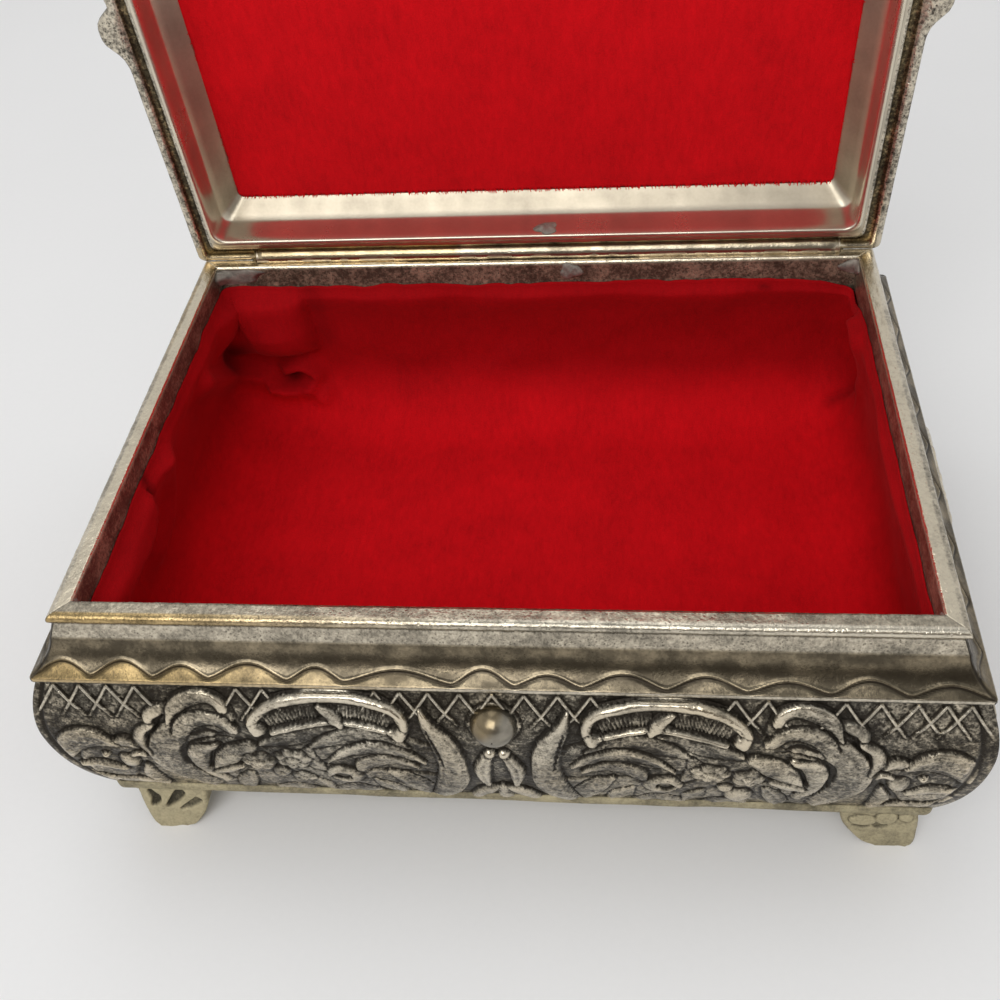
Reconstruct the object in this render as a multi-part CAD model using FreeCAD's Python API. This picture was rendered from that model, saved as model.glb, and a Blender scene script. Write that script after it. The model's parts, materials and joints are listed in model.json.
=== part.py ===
"""Cast metal keepsake casket with a hinged lid, standing open.

Millimetres, +Z up, +Y to the back (the hinge side). The origin lies on the table,
under the middle of the outline of the casket with its lid open.
"""
import FreeCAD, Part
import math
import os

V = FreeCAD.Vector

# Opening of the box
OPENING_WIDTH = 110.0
OPENING_DEPTH = 75.0

# Wall casting: section sizes, outwards from the opening and down from the rim
RIM_LAND = 1.9
BEAD_REACH = 2.75
BEAD_HEIGHT = 1.5
NECK_REACH = 2.4
BAND_REACH = 3.1
BAND_HEIGHT = 1.8
COVE_REACH = 6.6
COVE_HEIGHT = 5.0
COVE_HOLLOW = 1.05
MOULDING_EDGE = 0.7
STEP_REACH = 6.2
STEP_HEIGHT = 0.5
BELLY_REACH = 8.3
BELLY_LEVEL = 19.0
WALL_HEIGHT = 37.5
WALL_FOOT_REACH = 4.7
WALL_FOOT_WIDTH = 2.7
WALL_THICKNESS = 3.7
INNER_LEVEL = 22.5
INNER_BAND = 6.0
BOSS_RADIUS = 3.2
BOSS_LEVEL = 14.8
BOSS_SINK = 0.9
WALL_RELIEF = 0.8

# Base plate and feet
BASE_REACH = 5.2
BASE_THICKNESS = 1.6
FOOT_HEIGHT = 7.4
FOOT_TOP_WIDTH = 10.8
FOOT_BOTTOM_WIDTH = 6.4
LEFT_FOOT_INSET = 3.2
RIGHT_FOOT_INSET = 2.0
LEFT_FOOT_LEAN = 1.4
RIGHT_FOOT_LEAN = -0.2
FOOT_THICKNESS = 3.0
FOOT_SETBACK = 0.3
LEFT_FOOT_FLARE = 2.3
RIGHT_FOOT_FLARE = 1.2
FOOT_BOW = 1.1

# Floor card and velvet lining
CARD_THICKNESS = 1.2
CARD_CLEARANCE = 0.4
VELVET_THICKNESS = 1.0
VELVET_DROP = 3.5
VELVET_CLEARANCE = 0.2
PLEAT_RADIUS = 6.0
PLEAT_TIP = 2.5

# Hinge
HINGE_BACK = 2.5
HINGE_RISE = 0.5
BARREL_RADIUS = 1.5
BARREL_LEFT_MARGIN = 7.3
BARREL_RIGHT_MARGIN = 3.1
MIDDLE_KNUCKLE = 40.0
MIDDLE_SHIFT = -1.0
KNUCKLE_GAP = 0.2
PIN_RADIUS = 0.6
PIN_FIT = 0.02
RUNNING_FIT = 0.05
SOLDER_FILM = 0.02
BARREL_CLEARANCE = 0.25
LID_OPEN_ANGLE = 85.0

# Lid casting: section sizes, outwards from the opening and up from the flange
LID_SEAT = 0.1
FLANGE_REACH = 3.7
FLANGE_THICKNESS = 1.9
FLANGE_EDGE = 0.5
LID_BACK_REACH = 0.2
COVE_FOOT_REACH = 2.4
COVE_TOP_INSET = 0.8
COVE_TOP_RISE = 6.6
COVE_DIP = 0.7
CROWN_INSET = 4.6
LID_RISE = 10.1
LID_RELIEF = 0.7
ROSETTE_RADIUS = 4.2
CROWN_SWELL = 0.6
LIP_CLEARANCE = 0.4
LIP_BACK_SETBACK = 1.2
LIP_THICKNESS = 0.9
LIP_DEPTH = 1.8
LIP_CORNER = 3.0
RECESS_WALL = 3.6
RECESS_SLOPE_IN = 3.2
RECESS_SLOPE_RISE = 3.2
LID_CARD_THICKNESS = 0.8
LID_VELVET_THICKNESS = 0.8
LID_CARD_CLEARANCE = 0.3
LOBE_WIDTH = 8.6
LOBE_REACH = 2.7
SIDE_LOBE_SHIFT = 2.6

# Solder
FILLET_LEG = 1.6
FILLET_TOP = 0.7
FILLET_HEIGHT = 2.6
DAB_RADIUS = 1.5
DAB_HEIGHT = 0.6
DAB_DROP = 1.9
BOX_DAB_SHIFT = 7.3
LID_DAB_SHIFT = 3.4

# Leaves of the chased ornament: two tips, then the middles of the two bowed edges between
# them. Places are shares of half of a long wall, from its middle, and of its belly's height,
# downwards. Heads are round, with a radius.
END_LEAVES = [
    ((0.62, 0.08), (0.70, 0.955), (0.81, 0.385), (0.73, 0.415)),
    ((0.64, 0.385), (0.64, 0.94), (0.72, 0.60), (0.67, 0.645)),
    ((0.82, 0.475), (0.98, 0.475), (0.905, 0.285), (0.90, 0.50)),
    ((0.855, 0.53), (0.855, 0.835), (0.885, 0.68), (0.825, 0.68)),
    ((0.905, 0.85), (0.97, 0.585), (0.955, 0.76), (0.92, 0.665)),
]
END_HEADS = [((0.62, 0.205), 3.0)]
MIDDLE_LEAVES = [
    ((0.20, 0.285), (0.52, 0.285), (0.355, 0.02), (0.355, 0.185)),
    ((0.155, 0.53), (0.40, 0.435), (0.265, 0.29), (0.275, 0.45)),
    ((0.22, 0.61), (0.22, 0.955), (0.25, 0.78), (0.19, 0.78)),
    ((0.34, 0.55), (0.34, 0.86), (0.367, 0.70), (0.313, 0.70)),
    ((0.44, 0.695), (0.44, 0.955), (0.466, 0.825), (0.414, 0.825)),
    ((0.53, 0.685), (0.53, 0.955), (0.562, 0.82), (0.498, 0.82)),
]
MIDDLE_HEADS = [((0.458, 0.56), 2.65), ((0.54, 0.56), 2.3)]
UPRIGHT_LEAVES = [((0.175, 0.08), (0.105, 0.955), (0.135, 0.53), (0.065, 0.51))]
SHELL_MIDDLE = 0.355

HALF_W = OPENING_WIDTH / 2
HALF_D = OPENING_DEPTH / 2
WALL_FOOT = FOOT_HEIGHT + BASE_THICKNESS
RIM_HEIGHT = WALL_FOOT + WALL_HEIGHT
COVE_FOOT = RIM_HEIGHT - BEAD_HEIGHT - BAND_HEIGHT - COVE_HEIGHT
STEP_FOOT = COVE_FOOT - MOULDING_EDGE - STEP_HEIGHT
BELLY = RIM_HEIGHT - BELLY_LEVEL
INNER_BELLY = RIM_HEIGHT - INNER_LEVEL
AXIS = V(0, HALF_D + HINGE_BACK, RIM_HEIGHT + HINGE_RISE)
CARD_TOP = WALL_FOOT + CARD_THICKNESS
FLOOR = CARD_TOP + VELVET_THICKNESS
FLANGE_UNDER = RIM_HEIGHT + LID_SEAT
LONG = 4 * (OPENING_WIDTH + OPENING_DEPTH)


def face(start, steps):
    """Closed flat face from a start point, lines (end,) and arcs (middle, end)."""
    edges = []
    here = start
    for step in steps:
        if len(step) == 1:
            edges.append(Part.makeLine(here, step[0]))
        else:
            edges.append(Part.Arc(here, step[0], step[1]).toShape())
        here = step[-1]
    edges.append(Part.makeLine(here, start))
    return Part.Face(Part.Wire(edges))


def section(start, steps, side):
    """A section given as (reach, height) pairs, set up on a wall that faces -Y."""

    def place(point):
        return V(0, -side - point[0], point[1])

    return face(place(start), [tuple(place(p) for p in step) for step in steps])


def mitred(start, steps, half_length, side, turn):
    """One side of a frame: a section drawn along the side and cut at 45 degrees at both ends."""
    bar = section(start, steps, side).extrude(V(2 * LONG, 0, 0))
    bar.translate(V(-LONG, 0, 0))
    inner = side
    outer = LONG / 4
    corners = [
        V(-half_length + inner, 0, -LONG),
        V(half_length - inner, 0, -LONG),
        V(half_length + outer, -side - outer, -LONG),
        V(-half_length - outer, -side - outer, -LONG),
    ]
    if half_length <= side:
        corners[0:2] = [V(0, half_length - side, -LONG)]
    wedge = Part.Face(Part.makePolygon(corners + corners[:1])).extrude(V(0, 0, 2 * LONG))
    piece = bar.common(wedge)
    piece.rotate(V(0, 0, 0), V(0, 0, 1), turn)
    return piece


def four_sides(start, steps):
    """The four mitred sides of a frame round the opening: front, right, back, left."""
    return [
        mitred(start, steps, HALF_W, HALF_D, 0),
        mitred(start, steps, HALF_D, HALF_W, 90),
        mitred(start, steps, HALF_W, HALF_D, 180),
        mitred(start, steps, HALF_D, HALF_W, 270),
    ]


def rod(radius, left, right):
    """A round bar on the hinge axis."""
    return Part.makeCylinder(radius, right - left, V(left, AXIS.y, AXIS.z), V(1, 0, 0))


def box(x0, x1, y0, y1, z0, z1):
    return Part.makeBox(x1 - x0, y1 - y0, z1 - z0, V(x0, y0, z0))


def dab(at, normal, keep):
    """A dab of solder: the cap of a ball that stands on a face, kept on one side of it."""
    ball_radius = (DAB_RADIUS ** 2 + DAB_HEIGHT ** 2) / (2 * DAB_HEIGHT)
    ball = Part.makeSphere(ball_radius, at + normal * (DAB_HEIGHT - ball_radius))
    return ball.common(keep)


def swell(reach, level, lift):
    """Middle of the arc between a point of a wall and the widest point of its belly, which is
    upright there; lifted off the casting's face by a relief."""
    run = BELLY_REACH - reach
    drop = level - BELLY
    radius = (run ** 2 + drop ** 2) / (2 * run)
    half = math.asin(drop / radius) / 2
    return (BELLY_REACH + lift - radius * (1 - math.cos(half)), BELLY + radius * math.sin(half))


def wall_section():
    """Section of a wall casting, from the inner edge of the rim round to the inner band."""
    rim = RIM_HEIGHT
    bead_foot = rim - BEAD_HEIGHT
    band_foot = bead_foot - BAND_HEIGHT
    cove_middle = (
        (BAND_REACH + COVE_REACH) / 2 - COVE_HOLLOW * 0.7,
        (band_foot + COVE_FOOT) / 2 - COVE_HOLLOW * 0.4,
    )
    return (0, rim), [
        ((RIM_LAND, rim),),
        ((BEAD_REACH, rim - BEAD_HEIGHT / 2), (NECK_REACH, bead_foot)),
        ((BAND_REACH, band_foot),),
        (cove_middle, (COVE_REACH, COVE_FOOT)),
        ((COVE_REACH, COVE_FOOT - MOULDING_EDGE),),
        ((STEP_REACH, STEP_FOOT),),
        (swell(STEP_REACH, STEP_FOOT, 0), (BELLY_REACH, BELLY)),
        (swell(WALL_FOOT_REACH, WALL_FOOT, 0), (WALL_FOOT_REACH, WALL_FOOT)),
        ((WALL_FOOT_REACH - WALL_FOOT_WIDTH, WALL_FOOT),),
        ((BELLY_REACH - WALL_THICKNESS, INNER_BELLY), (0, rim - INNER_BAND)),
    ]


def leaf(place, tip, end, bow, hollow):
    """Flat leaf of the ornament."""
    there = Part.Arc(place(*tip), place(*bow), place(*end)).toShape()
    back = Part.Arc(place(*end), place(*hollow), place(*tip)).toShape()
    return Part.Face(Part.Wire([there, back]))


def pads(leaves, heads, place, rise, skin):
    """Leaves and round heads raised along a direction, as far as a skin over their ground."""
    flats = [leaf(place, *points) for points in leaves]
    flats += [Part.Face(Part.Wire(Part.makeCircle(r, place(*at), rise))) for at, r in heads]
    return [flat.extrude(rise).common(skin) for flat in flats]


def wall_ornament(groups, side, turn):
    """Pads on the belly of a wall, from leaves, heads, their shift along it and their hand."""
    root = WALL_THICKNESS / 2
    lift = WALL_RELIEF
    skin = section((STEP_REACH + lift, STEP_FOOT), [
        (swell(STEP_REACH, STEP_FOOT, lift), (BELLY_REACH + lift, BELLY)),
        (swell(WALL_FOOT_REACH, WALL_FOOT, lift), (WALL_FOOT_REACH + lift, WALL_FOOT)),
        ((WALL_FOOT_REACH - root, WALL_FOOT),),
        ((BELLY_REACH - root, BELLY), (STEP_REACH - root, STEP_FOOT)),
    ], side).extrude(V(2 * LONG, 0, 0))
    skin.translate(V(-LONG, 0, 0))
    height = STEP_FOOT - WALL_FOOT
    raised = []
    for leaves, heads, shift, hand in groups:

        def place(along, down):
            return V(hand * (along * LONG_HALF + shift), -side - LONG, STEP_FOOT - down * height)

        raised += pads(leaves, heads, place, V(0, LONG, 0), skin)
    for pad in raised:
        pad.rotate(V(0, 0, 0), V(0, 0, 1), turn)
    return raised


def cavity(gap, low):
    """The space inside the walls, short of them by a gap, from a level up to the velvet's edge."""
    top = RIM_HEIGHT - VELVET_DROP
    bend = RIM_HEIGHT - INNER_BAND
    bulge = BELLY_REACH - WALL_THICKNESS - gap
    foot_reach = WALL_FOOT_REACH - WALL_FOOT_WIDTH - gap

    def bar(half, place, reach):
        rim, side, base = half - gap, half + bulge, half + foot_reach
        steps = [
            (place(rim, bend),),
            (place(side, INNER_BELLY), place(base, WALL_FOOT)),
            (place(-base, WALL_FOOT),),
            (place(-side, INNER_BELLY), place(-rim, bend)),
            (place(-rim, top),),
        ]
        return face(place(rim, top), steps).extrude(reach)

    across = bar(HALF_W, lambda s, z: V(s, -LONG, z), V(0, 2 * LONG, 0))
    along = bar(HALF_D, lambda s, z: V(-LONG, s, z), V(2 * LONG, 0, 0))
    return across.common(along).common(box(-LONG, LONG, -LONG, LONG, low, top))


def crown_outline(half):
    """Half-width outline of the lid seen along one of its sides, from edge to edge."""
    under = FLANGE_UNDER
    top = under + FLANGE_THICKNESS
    cove_top = under + COVE_TOP_RISE
    crown = under + LID_RISE
    flange = half + FLANGE_REACH
    foot = half + COVE_FOOT_REACH
    neck = half - COVE_TOP_INSET
    flat = half - CROWN_INSET
    cove = ((foot + neck) / 2 - COVE_DIP, (top + cove_top) / 2 - COVE_DIP * 0.5)
    shoulder = (
        (flat + neck) / 2 + (neck - flat) * 0.2,
        (cove_top + crown) / 2 + (crown - cove_top) * 0.2,
    )
    return [
        (flange - FLANGE_EDGE, under), (flange, under + FLANGE_EDGE), (flange, top - FLANGE_EDGE),
        (flange - FLANGE_EDGE, top), (foot, top), cove, (neck, cove_top), shoulder, (flat, crown),
    ]


def vault(outline, place, swell):
    """A bar with the lid's outline on both flanks and a gently swelled crown."""

    def right(i):
        return place(outline[i][0], outline[i][1])

    def left(i):
        return place(-outline[i][0], outline[i][1])

    middle = place(0, outline[8][1] + swell)
    steps = [
        (right(1),), (right(2),), (right(3),), (right(4),),
        (right(5), right(6)), (right(7), right(8)), (middle, left(8)),
        (left(7), left(6)), (left(5), left(4)),
        (left(3),), (left(2),), (left(1),), (left(0),),
    ]
    return face(right(0), steps)


def lid_crown():
    """Outside of the lid: two vaulted bars that cross, meeting in mitred corners."""
    across = vault(crown_outline(HALF_W), lambda s, z: V(s, -LONG, z), CROWN_SWELL)
    along = vault(crown_outline(HALF_D), lambda s, z: V(-LONG, s, z), CROWN_SWELL)
    return across.extrude(V(0, 2 * LONG, 0)).common(along.extrude(V(2 * LONG, 0, 0)))


def crown_ornament():
    """Pads on the lid's crown: the ornament of a long wall laid twice, foot to foot."""
    skin = lid_crown()
    skin.translate(V(0, 0, LID_RELIEF))
    rise = V(0, 0, LID_RISE)
    crown_x = HALF_W - CROWN_INSET
    crown_y = HALF_D - CROWN_INSET
    foot = FLANGE_UNDER + FLANGE_THICKNESS
    leaves = END_LEAVES + MIDDLE_LEAVES + UPRIGHT_LEAVES
    raised = pads([], [((0, 0), ROSETTE_RADIUS)], lambda x, y: V(x, y, foot), rise, skin)
    for hand_x in (-1, 1):
        for hand_y in (-1, 1):

            def place(along, down):
                return V(hand_x * along * crown_x, hand_y * (1 - down) * crown_y, foot)

            raised += pads(leaves, END_HEADS + MIDDLE_HEADS, place, rise, skin)
    return raised


def recess_bar(half_near, half_far, low, place):
    """Section of the lid's recess: upright walls, a slope, then the pocket of velvet and card."""
    wall_top = FLANGE_UNDER + RECESS_WALL
    ceiling = wall_top + RECESS_SLOPE_RISE + LID_VELVET_THICKNESS + LID_CARD_THICKNESS
    slope_top = wall_top + RECESS_SLOPE_RISE
    points = [
        place(-half_near, low), place(half_far, low), place(half_far, wall_top),
        place(half_far - RECESS_SLOPE_IN, slope_top), place(half_far - RECESS_SLOPE_IN, ceiling),
        place(-half_near + RECESS_SLOPE_IN, ceiling), place(-half_near + RECESS_SLOPE_IN, slope_top),
        place(-half_near, wall_top),
    ]
    return face(points[0], [(p,) for p in points[1:]])


def rounded_block(x_half, y_near, y_far, z0, z1, radius):
    """Upright block with rounded corners."""
    block = box(-x_half, x_half, -y_near, y_far, z0, z1)
    upright = [e for e in block.Edges if abs(e.tangentAt(e.FirstParameter).z) > 0.99]
    return block.makeFillet(radius, upright)


LONG_HALF = HALF_W + COVE_REACH
LIP_X = HALF_W - LIP_CLEARANCE
LIP_FRONT = HALF_D - LIP_CLEARANCE
LIP_BACK = HALF_D - LIP_CLEARANCE - LIP_BACK_SETBACK
RECESS_X = LIP_X - LIP_THICKNESS
RECESS_FRONT = LIP_FRONT - LIP_THICKNESS
RECESS_BACK = LIP_BACK - LIP_THICKNESS
CARD_SEAT = FLANGE_UNDER + RECESS_WALL + RECESS_SLOPE_RISE + LID_VELVET_THICKNESS

HINGE_LEFT = BARREL_LEFT_MARGIN - HALF_W
HINGE_RIGHT = HALF_W - BARREL_RIGHT_MARGIN
MIDDLE_LEFT = MIDDLE_SHIFT - MIDDLE_KNUCKLE / 2
MIDDLE_RIGHT = MIDDLE_SHIFT + MIDDLE_KNUCKLE / 2

nodes = {}
lid_nodes = {}

# Walls with their ornament, the boss on the front and the seat of the hinge in the back wall
walls = four_sides(*wall_section())
long_leaves = END_LEAVES + MIDDLE_LEAVES + UPRIGHT_LEAVES
long_groups = [(long_leaves, END_HEADS + MIDDLE_HEADS, 0, hand) for hand in (-1, 1)]
side_groups = [(END_LEAVES, END_HEADS, HALF_D - HALF_W, hand) for hand in (-1, 1)]
side_groups.append((MIDDLE_LEAVES, MIDDLE_HEADS, -SHELL_MIDDLE * LONG_HALF, 1))
boss_reach = BELLY_REACH - BOSS_SINK
boss_at = V(0, -HALF_D - boss_reach, RIM_HEIGHT - BOSS_LEVEL)
boss = Part.makeSphere(BOSS_RADIUS, boss_at, V(0, -1, 0))
boss_root = BELLY_REACH - WALL_THICKNESS / 2
boss = boss.cut(box(-HALF_W, HALF_W, -HALF_D - boss_root, HALF_D, 0, RIM_HEIGHT))
for i, (groups, side) in enumerate([(long_groups, HALF_D), (side_groups, HALF_W)] * 2):
    raised = wall_ornament(groups, side, 90 * i)
    if i == 0:
        raised.append(boss)
    walls[i] = walls[i].multiFuse(raised).removeSplitter()
nodes["front_wall"] = walls[0]
nodes["right_wall"] = walls[1]
seat = rod(BARREL_RADIUS + SOLDER_FILM, HINGE_LEFT - KNUCKLE_GAP, HINGE_RIGHT + KNUCKLE_GAP)
swing = rod(BARREL_RADIUS + BARREL_CLEARANCE, MIDDLE_LEFT - KNUCKLE_GAP, MIDDLE_RIGHT + KNUCKLE_GAP)
nodes["back_wall"] = walls[2].cut(seat).cut(swing)
nodes["left_wall"] = walls[3]

# Base plate and feet
plate_x = HALF_W + BASE_REACH
plate_y = HALF_D + BASE_REACH
nodes["base_plate"] = box(-plate_x, plate_x, -plate_y, plate_y, FOOT_HEIGHT, WALL_FOOT)


def foot(side_x, side_y):
    """Bracket foot under one corner: a tapered plate with bowed flanks that flares to the ground."""
    inset, lean, flare = LEFT_FOOT_INSET, LEFT_FOOT_LEAN, LEFT_FOOT_FLARE
    if side_x > 0:
        inset, lean, flare = RIGHT_FOOT_INSET, RIGHT_FOOT_LEAN, RIGHT_FOOT_FLARE
    outer = plate_x - inset
    inner = outer - FOOT_TOP_WIDTH
    low_outer = outer - lean
    low_inner = low_outer - FOOT_BOTTOM_WIDTH
    front = -plate_y + FOOT_SETBACK
    low_front = front - flare
    bowed = V((inner + low_inner) / 2 - FOOT_BOW, (front + low_front) / 2, FOOT_HEIGHT / 2)
    flank = face(V(inner, front, FOOT_HEIGHT), [
        (bowed, V(low_inner, low_front, 0)),
        (V(low_outer, low_front, 0),),
        (V(outer, front, FOOT_HEIGHT),),
    ])
    piece = flank.extrude(V(0, FOOT_THICKNESS, 0))
    if side_x < 0:
        piece = piece.mirror(V(0, 0, 0), V(1, 0, 0))
    if side_y > 0:
        piece = piece.mirror(V(0, 0, 0), V(0, 1, 0))
    return piece


nodes["front_left_foot"] = foot(-1, -1)
nodes["front_right_foot"] = foot(1, -1)
nodes["back_left_foot"] = foot(-1, 1)
nodes["back_right_foot"] = foot(1, 1)

# Solder fillets in the corners
fillet_top = RIM_HEIGHT - FILLET_TOP
fillets = []
for sx in (-1, 1):
    for sy in (-1, 1):
        corner = V(sx * HALF_W, sy * HALF_D, fillet_top)
        along_x = V(sx * (HALF_W - FILLET_LEG), sy * HALF_D, fillet_top)
        along_y = V(sx * HALF_W, sy * (HALF_D - FILLET_LEG), fillet_top)
        fillets.append(face(corner, [(along_x,), (along_y,)]).extrude(V(0, 0, -FILLET_HEIGHT)))
nodes["corner_solder"] = Part.makeCompound(fillets)

# Hinge knuckles and pin of the box
bore = rod(PIN_RADIUS + PIN_FIT, HINGE_LEFT - LONG, HINGE_RIGHT + LONG)
nodes["left_knuckle"] = rod(BARREL_RADIUS, HINGE_LEFT, MIDDLE_LEFT - KNUCKLE_GAP / 2).cut(bore)
nodes["right_knuckle"] = rod(BARREL_RADIUS, MIDDLE_RIGHT + KNUCKLE_GAP / 2, HINGE_RIGHT).cut(bore)
nodes["hinge_pin"] = rod(PIN_RADIUS, HINGE_LEFT, HINGE_RIGHT)
dab_at = V(BOX_DAB_SHIFT, HALF_D, RIM_HEIGHT - DAB_DROP)
in_front = box(-HALF_W, HALF_W, -HALF_D, HALF_D, 0, RIM_HEIGHT)
nodes["hinge_solder"] = dab(dab_at, V(0, -1, 0), in_front)

# Floor card and velvet lining
foot_inner = WALL_FOOT_REACH - WALL_FOOT_WIDTH
card_x = HALF_W + foot_inner - CARD_CLEARANCE
card_y = HALF_D + foot_inner - CARD_CLEARANCE
nodes["floor_card"] = box(-card_x, card_x, -card_y, card_y, WALL_FOOT, CARD_TOP)
sheet_space = cavity(VELVET_CLEARANCE, CARD_TOP)
lining = sheet_space.cut(cavity(VELVET_CLEARANCE + VELVET_THICKNESS, FLOOR))
pleat_reach = BELLY_REACH - WALL_THICKNESS - VELVET_CLEARANCE - VELVET_THICKNESS
pleat_at = V(-HALF_W - pleat_reach, HALF_D + pleat_reach, CARD_TOP)
pleat_height = RIM_HEIGHT - INNER_BAND - CARD_TOP
pleat = Part.makeCone(PLEAT_RADIUS, PLEAT_TIP, pleat_height, pleat_at).common(sheet_space)
nodes["velvet_lining"] = lining.fuse(pleat).removeSplitter()

# Lid casting, made closed on the rim
lobe_radius = ((LOBE_WIDTH / 2) ** 2 + LOBE_REACH ** 2) / (2 * LOBE_REACH)
lobe_centre = FLANGE_REACH + LOBE_REACH - lobe_radius
lobes = [
    V(-HALF_W - lobe_centre, -SIDE_LOBE_SHIFT, FLANGE_UNDER),
    V(HALF_W + lobe_centre, -SIDE_LOBE_SHIFT, FLANGE_UNDER),
    V(0, -HALF_D - lobe_centre, FLANGE_UNDER),
]
ears = [Part.makeCylinder(lobe_radius, FLANGE_THICKNESS, at) for at in lobes]
crown = lid_crown().multiFuse(ears + crown_ornament())
lip = rounded_block(LIP_X, LIP_FRONT, LIP_BACK, FLANGE_UNDER - LIP_DEPTH, FLANGE_UNDER, LIP_CORNER)
lip_foot = FLANGE_UNDER - LIP_DEPTH
recess_x = recess_bar(RECESS_X, RECESS_X, lip_foot, lambda s, z: V(s, -LONG, z))
recess_y = recess_bar(RECESS_FRONT, RECESS_BACK, lip_foot, lambda s, z: V(-LONG, s, z))
recess = recess_x.extrude(V(0, 2 * LONG, 0)).common(recess_y.extrude(V(2 * LONG, 0, 0)))
lid = crown.fuse(lip).cut(recess)
back_edge = AXIS.y + LID_BACK_REACH
lid = lid.cut(box(-LONG, LONG, back_edge, back_edge + LONG, lip_foot, FLANGE_UNDER + LONG))
lid = lid.cut(rod(BARREL_RADIUS + SOLDER_FILM, MIDDLE_LEFT - KNUCKLE_GAP, MIDDLE_RIGHT + KNUCKLE_GAP))
for left, right in ((HINGE_LEFT, MIDDLE_LEFT), (MIDDLE_RIGHT, HINGE_RIGHT)):
    lid = lid.cut(rod(BARREL_RADIUS + BARREL_CLEARANCE, left - KNUCKLE_GAP, right + KNUCKLE_GAP))
lid_nodes["lid_casting"] = lid.removeSplitter()

# Middle knuckle, solder, card and velvet of the lid
run_bore = rod(PIN_RADIUS + RUNNING_FIT, MIDDLE_LEFT - LONG, MIDDLE_RIGHT + LONG)
barrel = rod(BARREL_RADIUS, MIDDLE_LEFT + KNUCKLE_GAP / 2, MIDDLE_RIGHT - KNUCKLE_GAP / 2)
lid_nodes["middle_knuckle"] = barrel.cut(run_bore)
lid_dab_at = V(LID_DAB_SHIFT, RECESS_BACK, FLANGE_UNDER)
in_recess = box(-HALF_W, HALF_W, -HALF_D, RECESS_BACK, lip_foot, FLANGE_UNDER + LID_RISE)
lid_nodes["lid_solder"] = dab(lid_dab_at, V(0, -1, 0), in_recess)
panel_x = RECESS_X - RECESS_SLOPE_IN - LID_CARD_CLEARANCE
panel_front = RECESS_FRONT - RECESS_SLOPE_IN - LID_CARD_CLEARANCE
panel_back = RECESS_BACK - RECESS_SLOPE_IN - LID_CARD_CLEARANCE
card_top = CARD_SEAT + LID_CARD_THICKNESS
velvet_under = CARD_SEAT - LID_VELVET_THICKNESS
lid_nodes["lid_card"] = box(-panel_x, panel_x, -panel_front, panel_back, CARD_SEAT, card_top)
lid_nodes["lid_velvet"] = box(-panel_x, panel_x, -panel_front, panel_back, velvet_under, CARD_SEAT)

# Swing the lid open about its hinge
for name, shape in lid_nodes.items():
    shape.rotate(AXIS, V(-1, 0, 0), LID_OPEN_ANGLE)
    nodes[name] = shape

# Stand the whole outline over the origin
whole = Part.makeCompound(list(nodes.values())).optimalBoundingBox(False, False)
shift = V(-(whole.XMin + whole.XMax) / 2, -(whole.YMin + whole.YMax) / 2, -whole.ZMin)
os.makedirs("parts", exist_ok=True)
for name, shape in nodes.items():
    shape.translate(shift)
    shape.exportStep("parts/" + name + ".step")
    print(name, len(shape.Solids), round(shape.Volume, 2), shape.isValid())
hinge_at = AXIS + shift
print("hinge axis passes", round(hinge_at.y, 4), round(hinge_at.z, 4))
print("outline", [round(v, 3) for v in (whole.XLength, whole.YLength, whole.ZLength)], "shift", shift)
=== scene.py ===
"""Keepsake casket: chased castings, velvet and solder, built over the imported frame."""

import json
import math

import bpy
import numpy as np
from bpy.props import FloatProperty, FloatVectorProperty, PointerProperty
from mathutils import Matrix, Vector


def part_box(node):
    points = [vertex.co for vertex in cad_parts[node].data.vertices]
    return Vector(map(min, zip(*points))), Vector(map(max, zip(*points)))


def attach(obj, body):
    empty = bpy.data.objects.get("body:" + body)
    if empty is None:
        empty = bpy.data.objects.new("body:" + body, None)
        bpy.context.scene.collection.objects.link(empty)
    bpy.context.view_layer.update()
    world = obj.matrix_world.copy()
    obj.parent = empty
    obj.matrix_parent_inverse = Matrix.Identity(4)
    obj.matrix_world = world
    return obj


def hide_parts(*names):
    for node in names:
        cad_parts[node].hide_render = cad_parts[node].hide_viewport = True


bl_info = {
    "name": "Keepsake Casket",
    "version": (1, 0, 0),
    "blender": (4, 5, 0),
    "location": "View3D > Sidebar > Casket",
    "description": "Dresses the packed keepsake casket with castings, velvet and solder",
    "category": "Add Mesh",
}

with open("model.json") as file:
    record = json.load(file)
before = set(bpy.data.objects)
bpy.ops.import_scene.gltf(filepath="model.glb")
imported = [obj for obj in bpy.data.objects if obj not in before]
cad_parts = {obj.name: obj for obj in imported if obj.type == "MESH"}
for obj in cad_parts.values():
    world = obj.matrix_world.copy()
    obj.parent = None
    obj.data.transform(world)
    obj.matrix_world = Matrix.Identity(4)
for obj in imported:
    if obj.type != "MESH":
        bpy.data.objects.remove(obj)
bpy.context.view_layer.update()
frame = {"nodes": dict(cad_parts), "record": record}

MM = 0.001


def span(node):
    """Lowest and highest corner of a solid, in millimetres."""
    return [np.array(corner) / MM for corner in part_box(node)]


# Places taken from the frame, in millimetres
LEFT_LOW, LEFT_HIGH = span("left_wall")
MIDDLE_Y = (LEFT_LOW[1] + LEFT_HIGH[1]) / 2
HALF_W = -LEFT_HIGH[0]
HALF_D = MIDDLE_Y - span("front_wall")[1][1]
RIM = LEFT_HIGH[2]
HINGE = frame["record"]["behaviour"]["joints"][0]
HINGE_Y = HINGE["pos_m"][1] / MM - MIDDLE_Y
HINGE_Z = HINGE["pos_m"][2] / MM
OPEN_ANGLE = math.radians(-HINGE["range_deg"][0])
FLANGE_UNDER = RIM + 0.1
BARREL = (span("left_knuckle")[0][0], span("right_knuckle")[1][0])
MIDDLE_BARREL = (span("middle_knuckle")[0][0], span("middle_knuckle")[1][0])


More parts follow.
